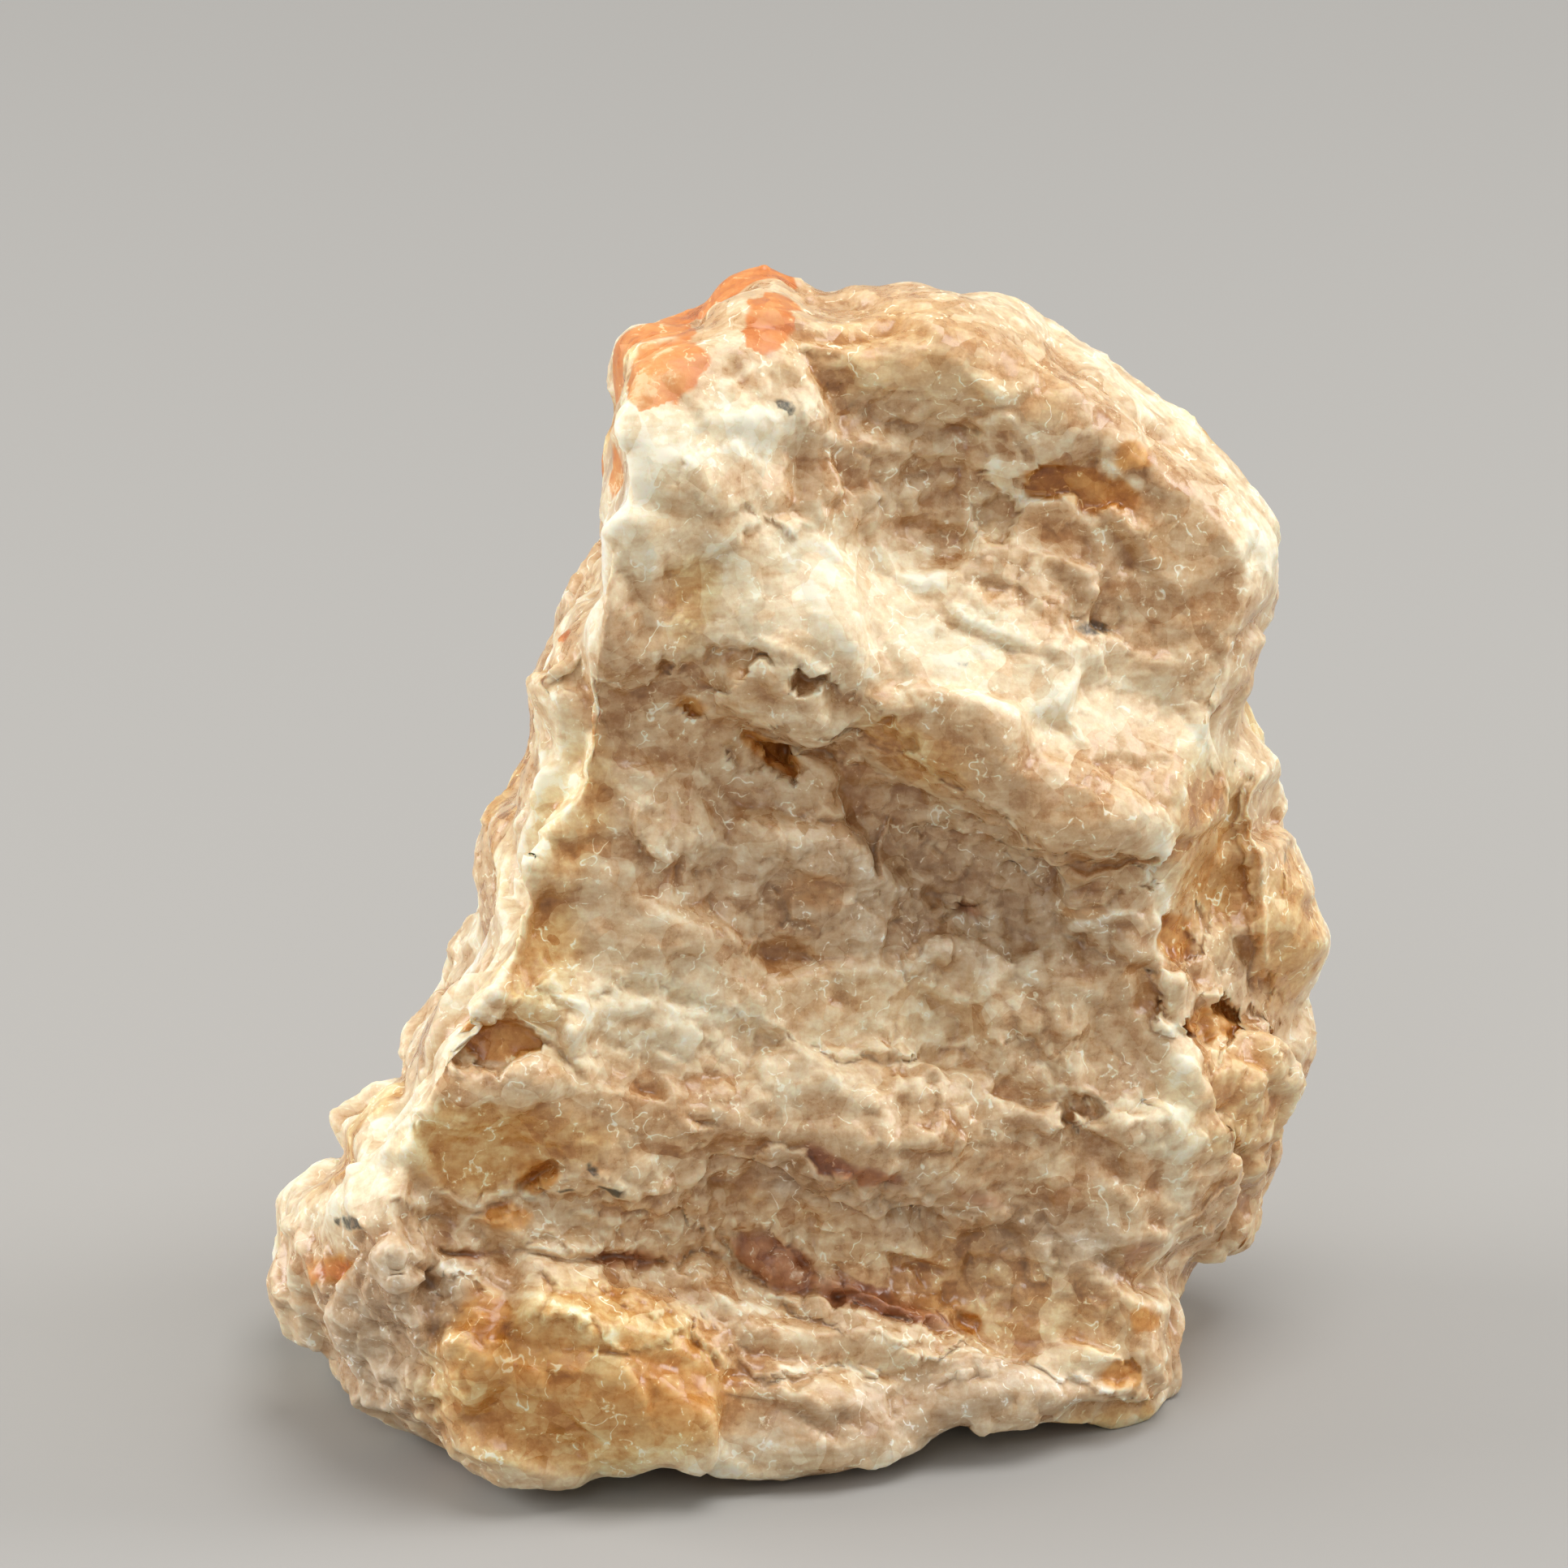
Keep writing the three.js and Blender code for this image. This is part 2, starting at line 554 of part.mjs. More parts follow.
// Cuts away what lies up and to the left of a corner, along the line of sight
function stepped(wasm, solid, [x, y, turn]) {
  const cutter = new THREE.BoxGeometry(stepSize, stepSize, cutterSize);
  cutter.translate(-stepSize / 2, stepSize / 2, 0);
  cutter.rotateZ(degToRad(turn));
  cutter.translate(x, y, 0);
  cutter.rotateX(Math.PI / 2 - viewTilt);
  return solid.subtract(solidFrom(wasm, cutter));
}

// Crystal of one radius, turned its own way and set at a place
function crystalSolid(wasm, place, radius, index) {
  const form = crystalForm(radius);
  form.rotateX(0.7 + 1.9 * index);
  form.rotateY(0.4 + 1.3 * index);
  form.rotateZ(0.2 + 0.8 * index);
  form.translate(place.x, place.y, place.z);
  return solidFrom(wasm, form);
}

// Cuts the underside level, so that the stone stands on a flat spot
function levelled(wasm, solid) {
  const belowGround = new THREE.BoxGeometry(cutterSize, cutterSize, cutterSize);
  belowGround.translate(0, 0, -cutterSize / 2);
  return solid.subtract(solidFrom(wasm, belowGround));
}

async function buildStone() {
  const wasm = await Module();
  wasm.setup();
  let stone = solidFrom(wasm, roughBody());
  for (const chip of chips) {
    stone = chipped(wasm, stone, chip);
  }
  for (const edgeStep of edgeSteps) {
    stone = stepped(wasm, stone, edgeStep);
  }
  edgeCrystals.forEach(([x, y, depth, radius], index) => {
    stone = stone.add(crystalSolid(wasm, placeSeen(x, y, depth), radius, index));
  });
  rearCrystals.forEach(([x, z, radius], index) => {
    const place = new THREE.Vector3(x, rearDepth(x, z) - crystalSink * radius, z);
    stone = stone.add(crystalSolid(wasm, place, radius, index + edgeCrystals.length));
  });
  stone = levelled(wasm, stone);
  const geometry = geometryFrom(stone);
  geometry.computeBoundingBox();
  const centre = geometry.boundingBox.getCenter(new THREE.Vector3());
  geometry.translate(-centre.x, -centre.y, -geometry.boundingBox.min.z);
  return geometry;
}

const rockMaterial = new THREE.MeshStandardMaterial({
  color: 0xc49a68,
  roughness: 0.5,
  metalness: 0,
  flatShading: true,
});

const stone = new THREE.Mesh(await buildStone(), rockMaterial);
stone.name = "garnet_stone";

const group = new THREE.Group();
group.add(stone);

export default group;
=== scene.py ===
import math

import bmesh
import bpy
import numpy as np
from mathutils import Euler, Matrix, Vector, noise


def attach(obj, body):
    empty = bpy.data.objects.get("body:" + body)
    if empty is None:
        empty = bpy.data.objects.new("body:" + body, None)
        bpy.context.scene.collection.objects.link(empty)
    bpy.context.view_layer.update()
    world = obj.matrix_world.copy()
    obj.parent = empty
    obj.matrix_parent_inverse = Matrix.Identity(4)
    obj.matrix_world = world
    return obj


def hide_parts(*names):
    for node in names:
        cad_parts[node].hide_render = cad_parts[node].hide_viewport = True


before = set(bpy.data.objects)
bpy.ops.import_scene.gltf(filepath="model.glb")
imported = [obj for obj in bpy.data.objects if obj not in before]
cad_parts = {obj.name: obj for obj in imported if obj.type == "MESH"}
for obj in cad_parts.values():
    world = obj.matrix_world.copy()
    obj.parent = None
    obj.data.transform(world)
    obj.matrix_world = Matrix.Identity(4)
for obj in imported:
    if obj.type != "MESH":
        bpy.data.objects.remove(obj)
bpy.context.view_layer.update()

mm = 0.001

# Rough spessartine garnet in its rock: massive tan feldspar and quartz with broken ledges, and orange garnet.
# Places on the front are written as pixels of a 1932-pixel square picture of it, taken by this camera.
view = {
    "tilt": math.radians(20.66),      # how far the camera looks down
    "eye": (-0.34, 13.74, 209.0),     # mm: right, up and out of the picture plane through the foot
    "shift": (0.018, -0.447, 0.0),    # mm from the plane's frame to the model's
    "pixelsPerMm": 52.34,
    "origin": (984, 1685),            # pixel of the plane's zero
    "lens": 203.85,                   # mm on a 36 mm sensor
}


def seenPlaces(points):
    # pixels and depth towards the camera in mm, for points of the model in mm
    p = points - np.array(view["shift"])
    sine, cosine = math.sin(view["tilt"]), math.cos(view["tilt"])
    up = p[:, 1] * sine + p[:, 2] * cosine
    depth = -p[:, 1] * cosine + p[:, 2] * sine
    eyeX, eyeY, eyeDistance = view["eye"]
    near = 1 - depth / eyeDistance
    x = eyeX + (p[:, 0] - eyeX) / near
    y = eyeY + (up - eyeY) / near
    return view["origin"][0] + x * view["pixelsPerMm"], view["origin"][1] - y * view["pixelsPerMm"], depth


def smoothStep(value, low, high):
    t = np.clip((value - low) / (high - low), 0, 1)
    return t * t * (3 - 2 * t)


def noiseAt(points, size, octaves=1, seed=0):
    # soft noise around zero whose lumps are size mm across
    offset = Vector((seed * 13.7, seed * 7.1, seed * 3.3))
    return np.array([noise.fractal(p / size + offset, 0.9, 2.1, octaves) for p in points])


def facetsAt(points, size, lean, step, seed=0):
    # broken facets: each cell of size mm is a plane with its own lean, a small step away from the next
    offset = Vector((seed * 4.1, seed * 6.7, seed * 8.9))
    half = Vector((0.5, 0.5, 0.5))
    heights = np.empty(len(points))
    for i, p in enumerate(points):
        q = p / size + offset
        distances, centres = noise.voronoi(q)
        total = weights = 0.0
        for distance, centre in zip(distances[:3], centres[:3]):
            turn = noise.cell_vector(centre * 31.7) - half
            weight = math.exp(-28 * (distance - distances[0]))
            total += weight * (turn.dot(q - centre) * lean + turn.x * step)
            weights += weight
        heights[i] = total / weights
    return heights * size


def grainsAt(points, size, seed=0):
    # mineral grains of size mm: the middle of each point's grain, and how far inside it the point lies
    offset = Vector((seed * 3.9, seed * 1.7, seed * 6.1))
    middles, inside = np.empty((len(points), 3)), np.empty(len(points))
    for i, p in enumerate(points):
        distances, centres = noise.voronoi(p / size + offset)
        middles[i] = (centres[0] - offset) * size
        inside[i] = distances[1] - distances[0]
    return middles, np.clip(inside * 1.8, 0, 1) ** 0.5


def spotAt(x, y, spot):
    # 1 inside a turned ellipse and 0 outside it: centre, half width, half height, turn in degrees, softness
    centreX, centreY, halfWidth, halfHeight, turn, soft = spot
    cosine, sine = math.cos(math.radians(turn)), math.sin(math.radians(turn))
    right = ((x - centreX) * cosine + (y - centreY) * sine) / halfWidth
    down = (-(x - centreX) * sine + (y - centreY) * cosine) / halfHeight
    return 1 - smoothStep(np.hypot(right, down), 1 - soft, 1 + soft)


def lineAt(x, y, places, width):
    # 1 on a line through the places, falling to 0 at half its width
    nearest = np.full(len(x), 1e9)
    for (startX, startY), (endX, endY) in zip(places, places[1:]):
        alongX, alongY = endX - startX, endY - startY
        share = np.clip(((x - startX) * alongX + (y - startY) * alongY) / (alongX ** 2 + alongY ** 2), 0, 1)
        nearest = np.minimum(nearest, np.hypot(x - startX - share * alongX, y - startY - share * alongY))
    return np.clip(1 - nearest / (width / 2), 0, 1)


def ledgeAt(x, y, places, over, under, reach):
    # a ledge along a line from left to right: stands out by over above it and is cut back by under below it
    xs, ys = zip(*places)
    below = y - np.interp(x, xs, ys)
    beyond, within = stone["ledgeEnds"]
    ends = smoothStep(x, xs[0] - beyond, xs[0] + within)
    ends *= 1 - smoothStep(x, xs[-1] - within, xs[-1] + beyond)
    lip = smoothStep(below, 0, stone["lip"])
    above = over * np.exp(np.minimum(below, 0) / reach) * (below <= 0)
    beneath = -under * np.exp(-np.maximum(below, 0) / reach) * lip
    return (above + beneath + over * (1 - lip) * (below > 0)) * ends


stone = {
    "voxel": 0.25,                    # mm between points before the front is divided once more
    "frontFrom": 0.05,                # how far a face may turn away from the camera and still count as front
    "warp": ((90, 16), (26, 7)),      # size and reach in pixels of the wandering of drawn outlines
    "grain": 0.8,                     # mm across the grains that drawn outlines follow
    "snap": 0.5,                      # how closely they follow them
    "grainTurn": 24,                  # degrees by which the long facets fall to the right
    "stretch": 1.7,                   # length of the facets to their width
    # broken facets: size in mm, lean, step, amount, less of it where smooth, more of it where grainy
    "longFacets": [
        (2.8, 0.60, 0.06, 1.0, 0.6, 0.0),
        (1.3, 0.60, 0.09, 0.65, 0.5, 0.3),
    ],
    "shortFacets": (0.6, 0.62, 0.12, 0.25, 0.23, 0.55),
    "sugar": (0.8, 0.12),             # mm across the raised grains of grainy places, and mm high
    "roughness": (0.9, 0.02),         # the same of the finest noise
    "garnetCalm": 0.8,                # share of the facets that garnet faces lack
    "rearCalm": 0.4,                  # and share that the rear lacks
    "drift": 4.0,                     # mm across the grainy and smooth drifts of the rear
    "standing": (("ridge", 6, 0.05), ("height", 60, 0.25)),   # smoothings to compare with, and mm for full
    "crystalStep": 0.12,              # mm from a crystal's flat face within which a point belongs to it
    "domeSkin": (0.1, 0.25),          # the same of a dome, and where it ends
    "ledgeEnds": (40, 20),            # pixels beyond and within a ledge's ends over which it fades
    "lip": 9,                         # pixels from the lip of a ledge to its full undercut
}

# Places where the break is grainy rather than smooth: centre, half width, half height, turn, softness
grainyPlaces = [
    (1090, 1090, 340, 110, 8, 0.35),
    (1000, 1520, 420, 100, 8, 0.35),
    (800, 1270, 200, 70, 8, 0.4),
    (1230, 1330, 200, 130, 10, 0.4),
    (1080, 560, 130, 80, 20, 0.5),
    (1300, 760, 180, 60, 15, 0.5),
    (470, 1650, 120, 130, 30, 0.4),
    (1500, 1380, 80, 90, 0, 0.5),
]
smoothPlaces = [
    (808, 448, 80, 66, 0, 0.3),
    (930, 380, 80, 60, 0, 0.3),
    (1120, 400, 190, 70, 0, 0.4),
    (1310, 590, 110, 60, 14, 0.4),
    (1450, 560, 130, 70, 35, 0.4),
    (1470, 710, 90, 100, 0, 0.5),
    (1330, 1010, 130, 56, 10, 0.3),
    (1170, 950, 130, 60, 30, 0.4),
    (860, 640, 150, 170, 0, 0.5),
    (1060, 770, 200, 80, 30, 0.5),
    (600, 1420, 100, 70, 0, 0.4),
    (1500, 1050, 70, 150, 0, 0.4),
    (1590, 1150, 60, 120, 0, 0.4),
    (1240, 1740, 200, 40, -10, 0.4),
]

# Garnet crystals: middle and radius in mm, before the model's shift, first at the left edge, then at the rear
crystals = [
    (-3.1, 1.9, 24.0, 1.35),
    (-0.9, 2.65, 25.15, 1.25),
    (-2.25, 3.15, 24.2, 1.2),
    (-3.0, 5.7, 20.25, 1.7),
    (-3.8, 5.9, 16.8, 1.8),
    (-4.9, 6.05, 13.75, 1.8),
    (-5.75, 6.05, 10.95, 1.8),
    (-6.5, 6.0, 7.95, 1.7),
    (-1.0, 4.4, 20.6, 2.8),
    (1.8, 5.15, 21.4, 2.0),
    (3.7, 5.3, 19.2, 1.7),
    (-2.9, 5.55, 17.8, 2.1),
    (0.5, 6.0, 17.2, 3.1),
    (3.4, 6.55, 16.2, 1.9),
    (-3.7, 6.75, 14.0, 2.5),
    (-1.1, 7.2, 13.6, 2.3),
    (-5.3, 6.95, 10.6, 2.0),
    (-2.8, 7.25, 10.4, 1.8),
    (-6.6, 5.8, 6.8, 1.8),
    (5.4, 6.85, 13.8, 1.5),
    (1.6, 7.6, 12.9, 1.7),
    (-0.4, 7.65, 10.2, 1.3),
    (-4.3, 7.25, 7.4, 1.4),
]

# Rounded lumps of garnet at the upper left edge: middle and radius in mm in the model
domes = [
    (-3.2, 1.2, 24.0, 1.25),
    (-1.0, 2.1, 25.0, 1.2),
    (-3.6, 4.2, 20.6, 1.3),
]

ledges = {
    "brow": ([(690, 820), (770, 832), (860, 800), (930, 790), (1000, 830), (1100, 895), (1200, 975),
              (1290, 1045), (1430, 1056)], 0.16, 0.5, 34),
    "brow nub": ([(900, 880), (960, 886), (1020, 900), (1080, 935)], 0.12, 0.16, 16),
    "shoulder": ([(780, 690), (850, 690), (930, 650), (1000, 640)], 0.14, 0.16, 22),
    "shelf": ([(560, 1315), (640, 1240), (760, 1212), (860, 1222), (960, 1275), (1100, 1290), (1250, 1260),
               (1330, 1340), (1345, 1364), (1370, 1352), (1440, 1350)], 0.10, 0.18, 20),
    "dark band": ([(500, 1480), (580, 1470), (660, 1462), (760, 1480), (880, 1500), (1000, 1520)],
                  0.10, 0.30, 16),
    "splinter": ([(534, 1566), (588, 1584), (645, 1607), (700, 1630), (760, 1646), (830, 1650), (900, 1665)],
                 0.20, 0.26, 12),
    "rust seam": ([(826, 1552), (887, 1568), (945, 1587), (998, 1598), (1044, 1617), (1102, 1644),
                   (1159, 1656), (1220, 1672)], -0.22, -0.22, 14),
    "second splinter": ([(620, 1572), (700, 1592), (790, 1612), (880, 1622)], 0.14, 0.2, 10),
    "third splinter": ([(900, 1560), (960, 1600), (1040, 1640), (1110, 1668)], 0.14, 0.22, 10),
    "fourth splinter": ([(560, 1530), (640, 1528), (720, 1540), (790, 1536)], 0.12, 0.2, 10),
    "seam above": ([(1010, 1430), (1080, 1460), (1150, 1500), (1200, 1530)], 0.12, 0.22, 12),
    "flank ledge": ([(1446, 1262), (1480, 1236), (1530, 1240), (1600, 1262)], 0.1, 0.3, 16),
    "corner ledge": ([(1446, 1540), (1500, 1524), (1560, 1500)], 0.1, 0.3, 16),
    "foot crease": ([(876, 1644), (945, 1667), (1044, 1679), (1121, 1690), (1200, 1676), (1300, 1694),
                     (1398, 1728)], 0.14, 0.24, 12),
}

grooves = {
    "slit above the splinters": ([(538, 1540), (588, 1552), (640, 1546), (690, 1560), (760, 1548),
                                  (815, 1556)], 20, 0.28),
    "fissure": ([(891, 1530), (905, 1550), (937, 1579)], 20, 0.35),
    "slit in the recess": ([(1068, 1066), (1082, 1040), (1094, 1014)], 20, 0.28),
    "crack of the recess": ([(1099, 1013), (1139, 1033), (1174, 1065)], 10, 0.14),
    "crease under the bulge": ([(1297, 1053), (1340, 1063), (1380, 1064), (1425, 1058)], 18, 0.35),
    "dark nook": ([(640, 1462), (660, 1450), (680, 1437)], 24, 0.4),
    "flake line": ([(1425, 1200), (1432, 1250), (1440, 1275)], 14, 0.25),
    "right rib": ([(1560, 940), (1552, 1010), (1556, 1100), (1562, 1180)], 18, -0.25),
    "corner crease": ([(1450, 1500), (1475, 1480), (1500, 1450)], 16, 0.25),
    "block groove": ([(500, 1500), (520, 1560), (530, 1640), (545, 1720)], 40, 0.25),
}

spots = {
    "amber window": (1330, 596, 78, 34, 12, 0.3, -0.35),
    "grey pocket": (1232, 636, 26, 20, 0, 0.4, -0.35),
    "brown hole": (948, 922, 46, 24, 24, 0.55, -0.6),
    "amber nook under the brow": (850, 862, 26, 14, 0, 0.4, -0.4),
    "pale nub": (944, 858, 66, 30, 6, 0.25, 0.45),
    "three-cornered pit": (1186, 1128, 26, 26, 20, 0.4, -0.35),
    "pale flake": (1152, 1178, 30, 15, -8, 0.15, 0.28),
    "grey flake": (1235, 560, 26, 40, -20, 0.15, 0.22),
    "amber slot": (612, 1290, 62, 22, 6, 0.3, -0.5),
    "smooth dip": (600, 1420, 90, 50, 0, 0.5, -0.25),
    "notch": (1344, 1362, 30, 14, 20, 0.3, -0.5),
    "lump by the notch": (1385, 1378, 34, 24, -4, 0.3, 0.35),
    "hole beside the lump": (1330, 1388, 11, 17, 0, 0.4, -0.35),
    "right flake": (1452, 1236, 32, 40, 24, 0.12, 0.4),
    "orange hole": (1492, 1262, 40, 26, -10, 0.35, -0.6),
    "amber corner": (1455, 1150, 24, 26, 0, 0.4, -0.4),
    "pale fragment": (985, 1450, 55, 45, 0, 0.2, 0.22),
    "lens of the bulge": (700, 1710, 170, 95, 4, 0.6, 0.22),
    "amber pocket": (1385, 1695, 26, 20, 0, 0.4, -0.3),
    "small amber pocket": (1195, 1631, 15, 14, 0, 0.4, -0.2),
    "shoulder": (905, 590, 70, 36, -8, 0.35, 0.18),
    "shoulder hollow": (830, 710, 60, 50, 0, 0.6, -0.12),
    "flank hollow": (1492, 1050, 46, 120, 4, 0.5, -0.45),
    "flank lobe": (1598, 1150, 40, 90, 0, 0.4, 0.35),
    "flank facet": (1540, 1350, 60, 60, 0, 0.3, 0.25),
}

# Pulls on the outline, in pixels: place, reach, and how far it moves to the right and down
pulls = [
    (735, 470, 70, 12, 0),
    (727, 590, 90, 18, 0),
    (625, 940, 120, 34, 0),
    (520, 1150, 170, 48, 0),
    (465, 1325, 70, 30, 0),
    (390, 1430, 60, 30, 0),
    (330, 1660, 100, 34, -10),
    (1490, 1610, 130, -34, 0),
    (1570, 1500, 80, -16, 0),
    (1625, 1180, 70, 14, 0),
    (1572, 800, 70, -20, 0),
    (1612, 1040, 60, -16, 0),
    (1060, 340, 120, 0, 14),
    (1300, 390, 120, 6, -12),
    (1240, 1788, 140, 0, -28),
    (830, 1825, 60, 0, -18),
]


def neighbourSmoothed(values, edges, times):
    # each value moves to the middle of its neighbours, several times
    count = len(values)
    starts = np.concatenate([edges[:, 0], edges[:, 1]])
    ends = np.concatenate([edges[:, 1], edges[:, 0]])
    number = np.maximum(np.bincount(starts, minlength=count), 1)
    smoothed = values.copy()
    for _ in range(times):
        sums = [np.bincount(starts, weights=column[ends], minlength=count) for column in smoothed.T]
        smoothed = 0.5 * smoothed + 0.5 * np.stack(sums, axis=1) / number[:, None]
    return smoothed


def readMesh(mesh):
    places = np.empty(len(mesh.vertices) * 3)
    mesh.vertices.foreach_get("co", places)
    normals = np.empty(len(mesh.vertices) * 3)
    mesh.vertex_normals.foreach_get("vector", normals)
    edges = np.empty(len(mesh.edges) * 2, dtype=np.int64)
    mesh.edges.foreach_get("vertices", edges)
    return places.reshape(-1, 3) / mm, normals.reshape(-1, 3), edges.reshape(-1, 2)


def writePlaces(mesh, places):
    mesh.vertices.foreach_set("co", (places * mm).ravel())
    mesh.update()


# Directions of the picture in the model, the same all over because the camera is far away
towardsCamera = Vector((0, -math.cos(view["tilt"]), math.sin(view["tilt"])))
downPicture = Vector((0, -math.sin(view["tilt"]), -math.cos(view["tilt"])))


def crystalsAt(places):
    # 1 on the flat faces of the crystals and 0 elsewhere
    shares = np.zeros(len(places))
    for number, (*middle, radius) in enumerate(crystals):
        turn = np.array(Euler((0.7 + 1.9 * number, 0.4 + 1.3 * number, 0.2 + 0.8 * number)).to_matrix())
        middle = np.array(middle) + np.array(view["shift"])
        local = (places - middle) @ turn       # the transpose turns places back into the crystal
        a, b, c = np.abs(local).T
        height = np.maximum(np.maximum(a + b, b + c), a + c) / 2   # 12 faces of a rhombic dodecahedron
        off = np.abs(height * math.sqrt(2) - radius / math.sqrt(2))
        shares = np.maximum(shares, 1 - smoothStep(off, stone["crystalStep"], 2.5 * stone["crystalStep"]))
    return shares


def makeBody(name):
    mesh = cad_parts["garnet_stone"].data.copy()
    mesh.name = name
    mesh.materials.clear()
    body = bpy.data.objects.new(name, mesh)
    bpy.context.scene.collection.objects.link(body)
    form = bmesh.new()
    form.from_mesh(mesh)
    bmesh.ops.remove_doubles(form, verts=form.verts, dist=0.002 * mm)
    for *middle, radius in domes:
        bmesh.ops.create_icosphere(form, subdivisions=4, radius=radius * mm,
                                   matrix=Matrix.Translation(Vector(middle) * mm))
    form.to_mesh(mesh)
    form.free()
    remesh = body.modifiers.new("Even points", "REMESH")
    remesh.mode = "VOXEL"
    remesh.voxel_size = stone["voxel"] * mm
    evaluated = body.evaluated_get(bpy.context.evaluated_depsgraph_get())
    even = bpy.data.meshes.new_from_object(evaluated)
    body.modifiers.clear()
    body.data = even
    even.name = name
    return body


def divideFront(body):
    # divides the edges that face the camera once more, where the picture shows the finest relief
    form = bmesh.new()
    form.from_mesh(body.data)
    front = [edge for edge in form.edges
             if all(vertex.normal.dot(towardsCamera) > stone["frontFrom"] for vertex in edge.verts)]
    bmesh.ops.subdivide_edges(form, edges=front, cuts=1, use_grid_fill=True, smooth=0.6)
    bmesh.ops.triangulate(form, faces=form.faces)
    form.to_mesh(body.data)
    form.free()


def shapeStone(body):
    mesh = body.data
    places, normals, _ = readMesh(mesh)
    vectors = [Vector(p) for p in places]
    x, y, _ = seenPlaces(places)
    front = smoothStep(normals @ np.array(towardsCamera), -0.05, 0.35)

    # outlines wander and follow the grains, so that drawn features have broken edges
    wanderX, wanderY = np.zeros(len(x)), np.zeros(len(x))
    for number, (size, reach) in enumerate(stone["warp"]):
        wanderX += reach * noiseAt(vectors, size / view["pixelsPerMm"], 2, 3 + number)
        wanderY += reach * noiseAt(vectors, size / view["pixelsPerMm"], 2, 7 + number)
    grainX, grainY, _ = seenPlaces(grainsAt(vectors, stone["grain"], 9)[0])
    brokenX = x + stone["snap"] * (grainX - x) + wanderX
    brokenY = y + stone["snap"] * (grainY - y) + wanderY

    relief = np.zeros(len(x))
    for line, over, under, reach in ledges.values():
        relief += ledgeAt(brokenX, brokenY, line, over, under, reach)
    for line, width, cut in grooves.values():
        relief -= cut * smoothStep(lineAt(x + 0.4 * wanderX, y + 0.4 * wanderY, line, width), 0, 0.9)
    for *shape, height in spots.values():
        relief += height * spotAt(brokenX, brokenY, shape)
    garnet = crystalsAt(places)
    for *middle, radius in domes:
        off = np.linalg.norm(places - np.array(middle), axis=1) - radius
        garnet = np.maximum(garnet, 1 - smoothStep(off, *stone["domeSkin"]))
    relief *= 1 - garnet
    places = places + np.array(towardsCamera) * (relief * front)[:, None]
    for centreX, centreY, reach, right, down in pulls:
        near = np.clip(1 - np.hypot(x - centreX, y - centreY) ** 2 / reach ** 2, 0, 1) ** 2
        move = Vector((right, 0, 0)) + down * downPicture
        places += near[:, None] * np.array(move) / view["pixelsPerMm"]

    # where the break is grainy and where it is smooth; by drifts at the rear
    drift = smoothStep(noiseAt(vectors, stone["drift"], 1, 11), -0.3, 0.4)
    grainy = 0.45 * drift * (1 - front)
    for place in grainyPlaces:
        grainy = np.maximum(grainy, spotAt(brokenX, brokenY, place) * front)
    smooth = 0.35 * (1 - drift) * (1 - front)
    for place in smoothPlaces:
        smooth = np.maximum(smooth, spotAt(brokenX, brokenY, place) * front)

    # facets of three sizes, longer along the way the ledges fall
    turn = math.radians(stone["grainTurn"])
    along = np.array([math.cos(turn), 0, -math.sin(turn)])
    squeezed = places - (places @ along)[:, None] * along * (1 - 1 / stone["stretch"])
    squeezed = [Vector(p) for p in squeezed]
    size, height = stone["sugar"]
    broken = height * grainy * (grainsAt(vectors, size, 4)[1] - 0.5)
    size, height = stone["roughness"]
    broken += height * (1 - smooth) * noiseAt(vectors, size, 4, 5)
    facets = [(squeezed, row) for row in stone["longFacets"]] + [(vectors, stone["shortFacets"])]
    for number, (points, (size, lean, step, amount, calm, rough)) in enumerate(facets, 1):
        broken += (amount - calm * smooth + rough * grainy) * facetsAt(points, size, lean, step, number)
    broken *= (1 - stone["garnetCalm"] * garnet) * (1 - stone["rearCalm"] * (1 - front))
    places = places + normals * broken[:, None]
    places[:, 2] = np.maximum(places[:, 2], 0)
    writePlaces(mesh, places)

    # what stands out and what lies in a hollow, at two sizes; the material whitens what stands out and
    # darkens hollows with painted shade
    places, normals, edges = readMesh(mesh)
    for name, times, depth in stone["standing"]:
        above = ((places - neighbourSmoothed(places, edges, times)) * normals).sum(axis=1)
        saveValue(mesh, name, np.clip(above / depth, -1, 1) * 0.5 + 0.5)
    # finishes have softer outlines than the relief
    return front, garnet, (x + brokenX) / 2, (y + brokenY) / 2


def saveValue(mesh, name, values):
    attribute = mesh.attributes.new(name, "FLOAT", "POINT")
    attribute.data.foreach_set("value", np.asarray(values, dtype=np.float32))


painted = ("frostAndHighlight", "honey", "amberAndHollowShade", "greyAndShade", "rust", "garnet", "speck")

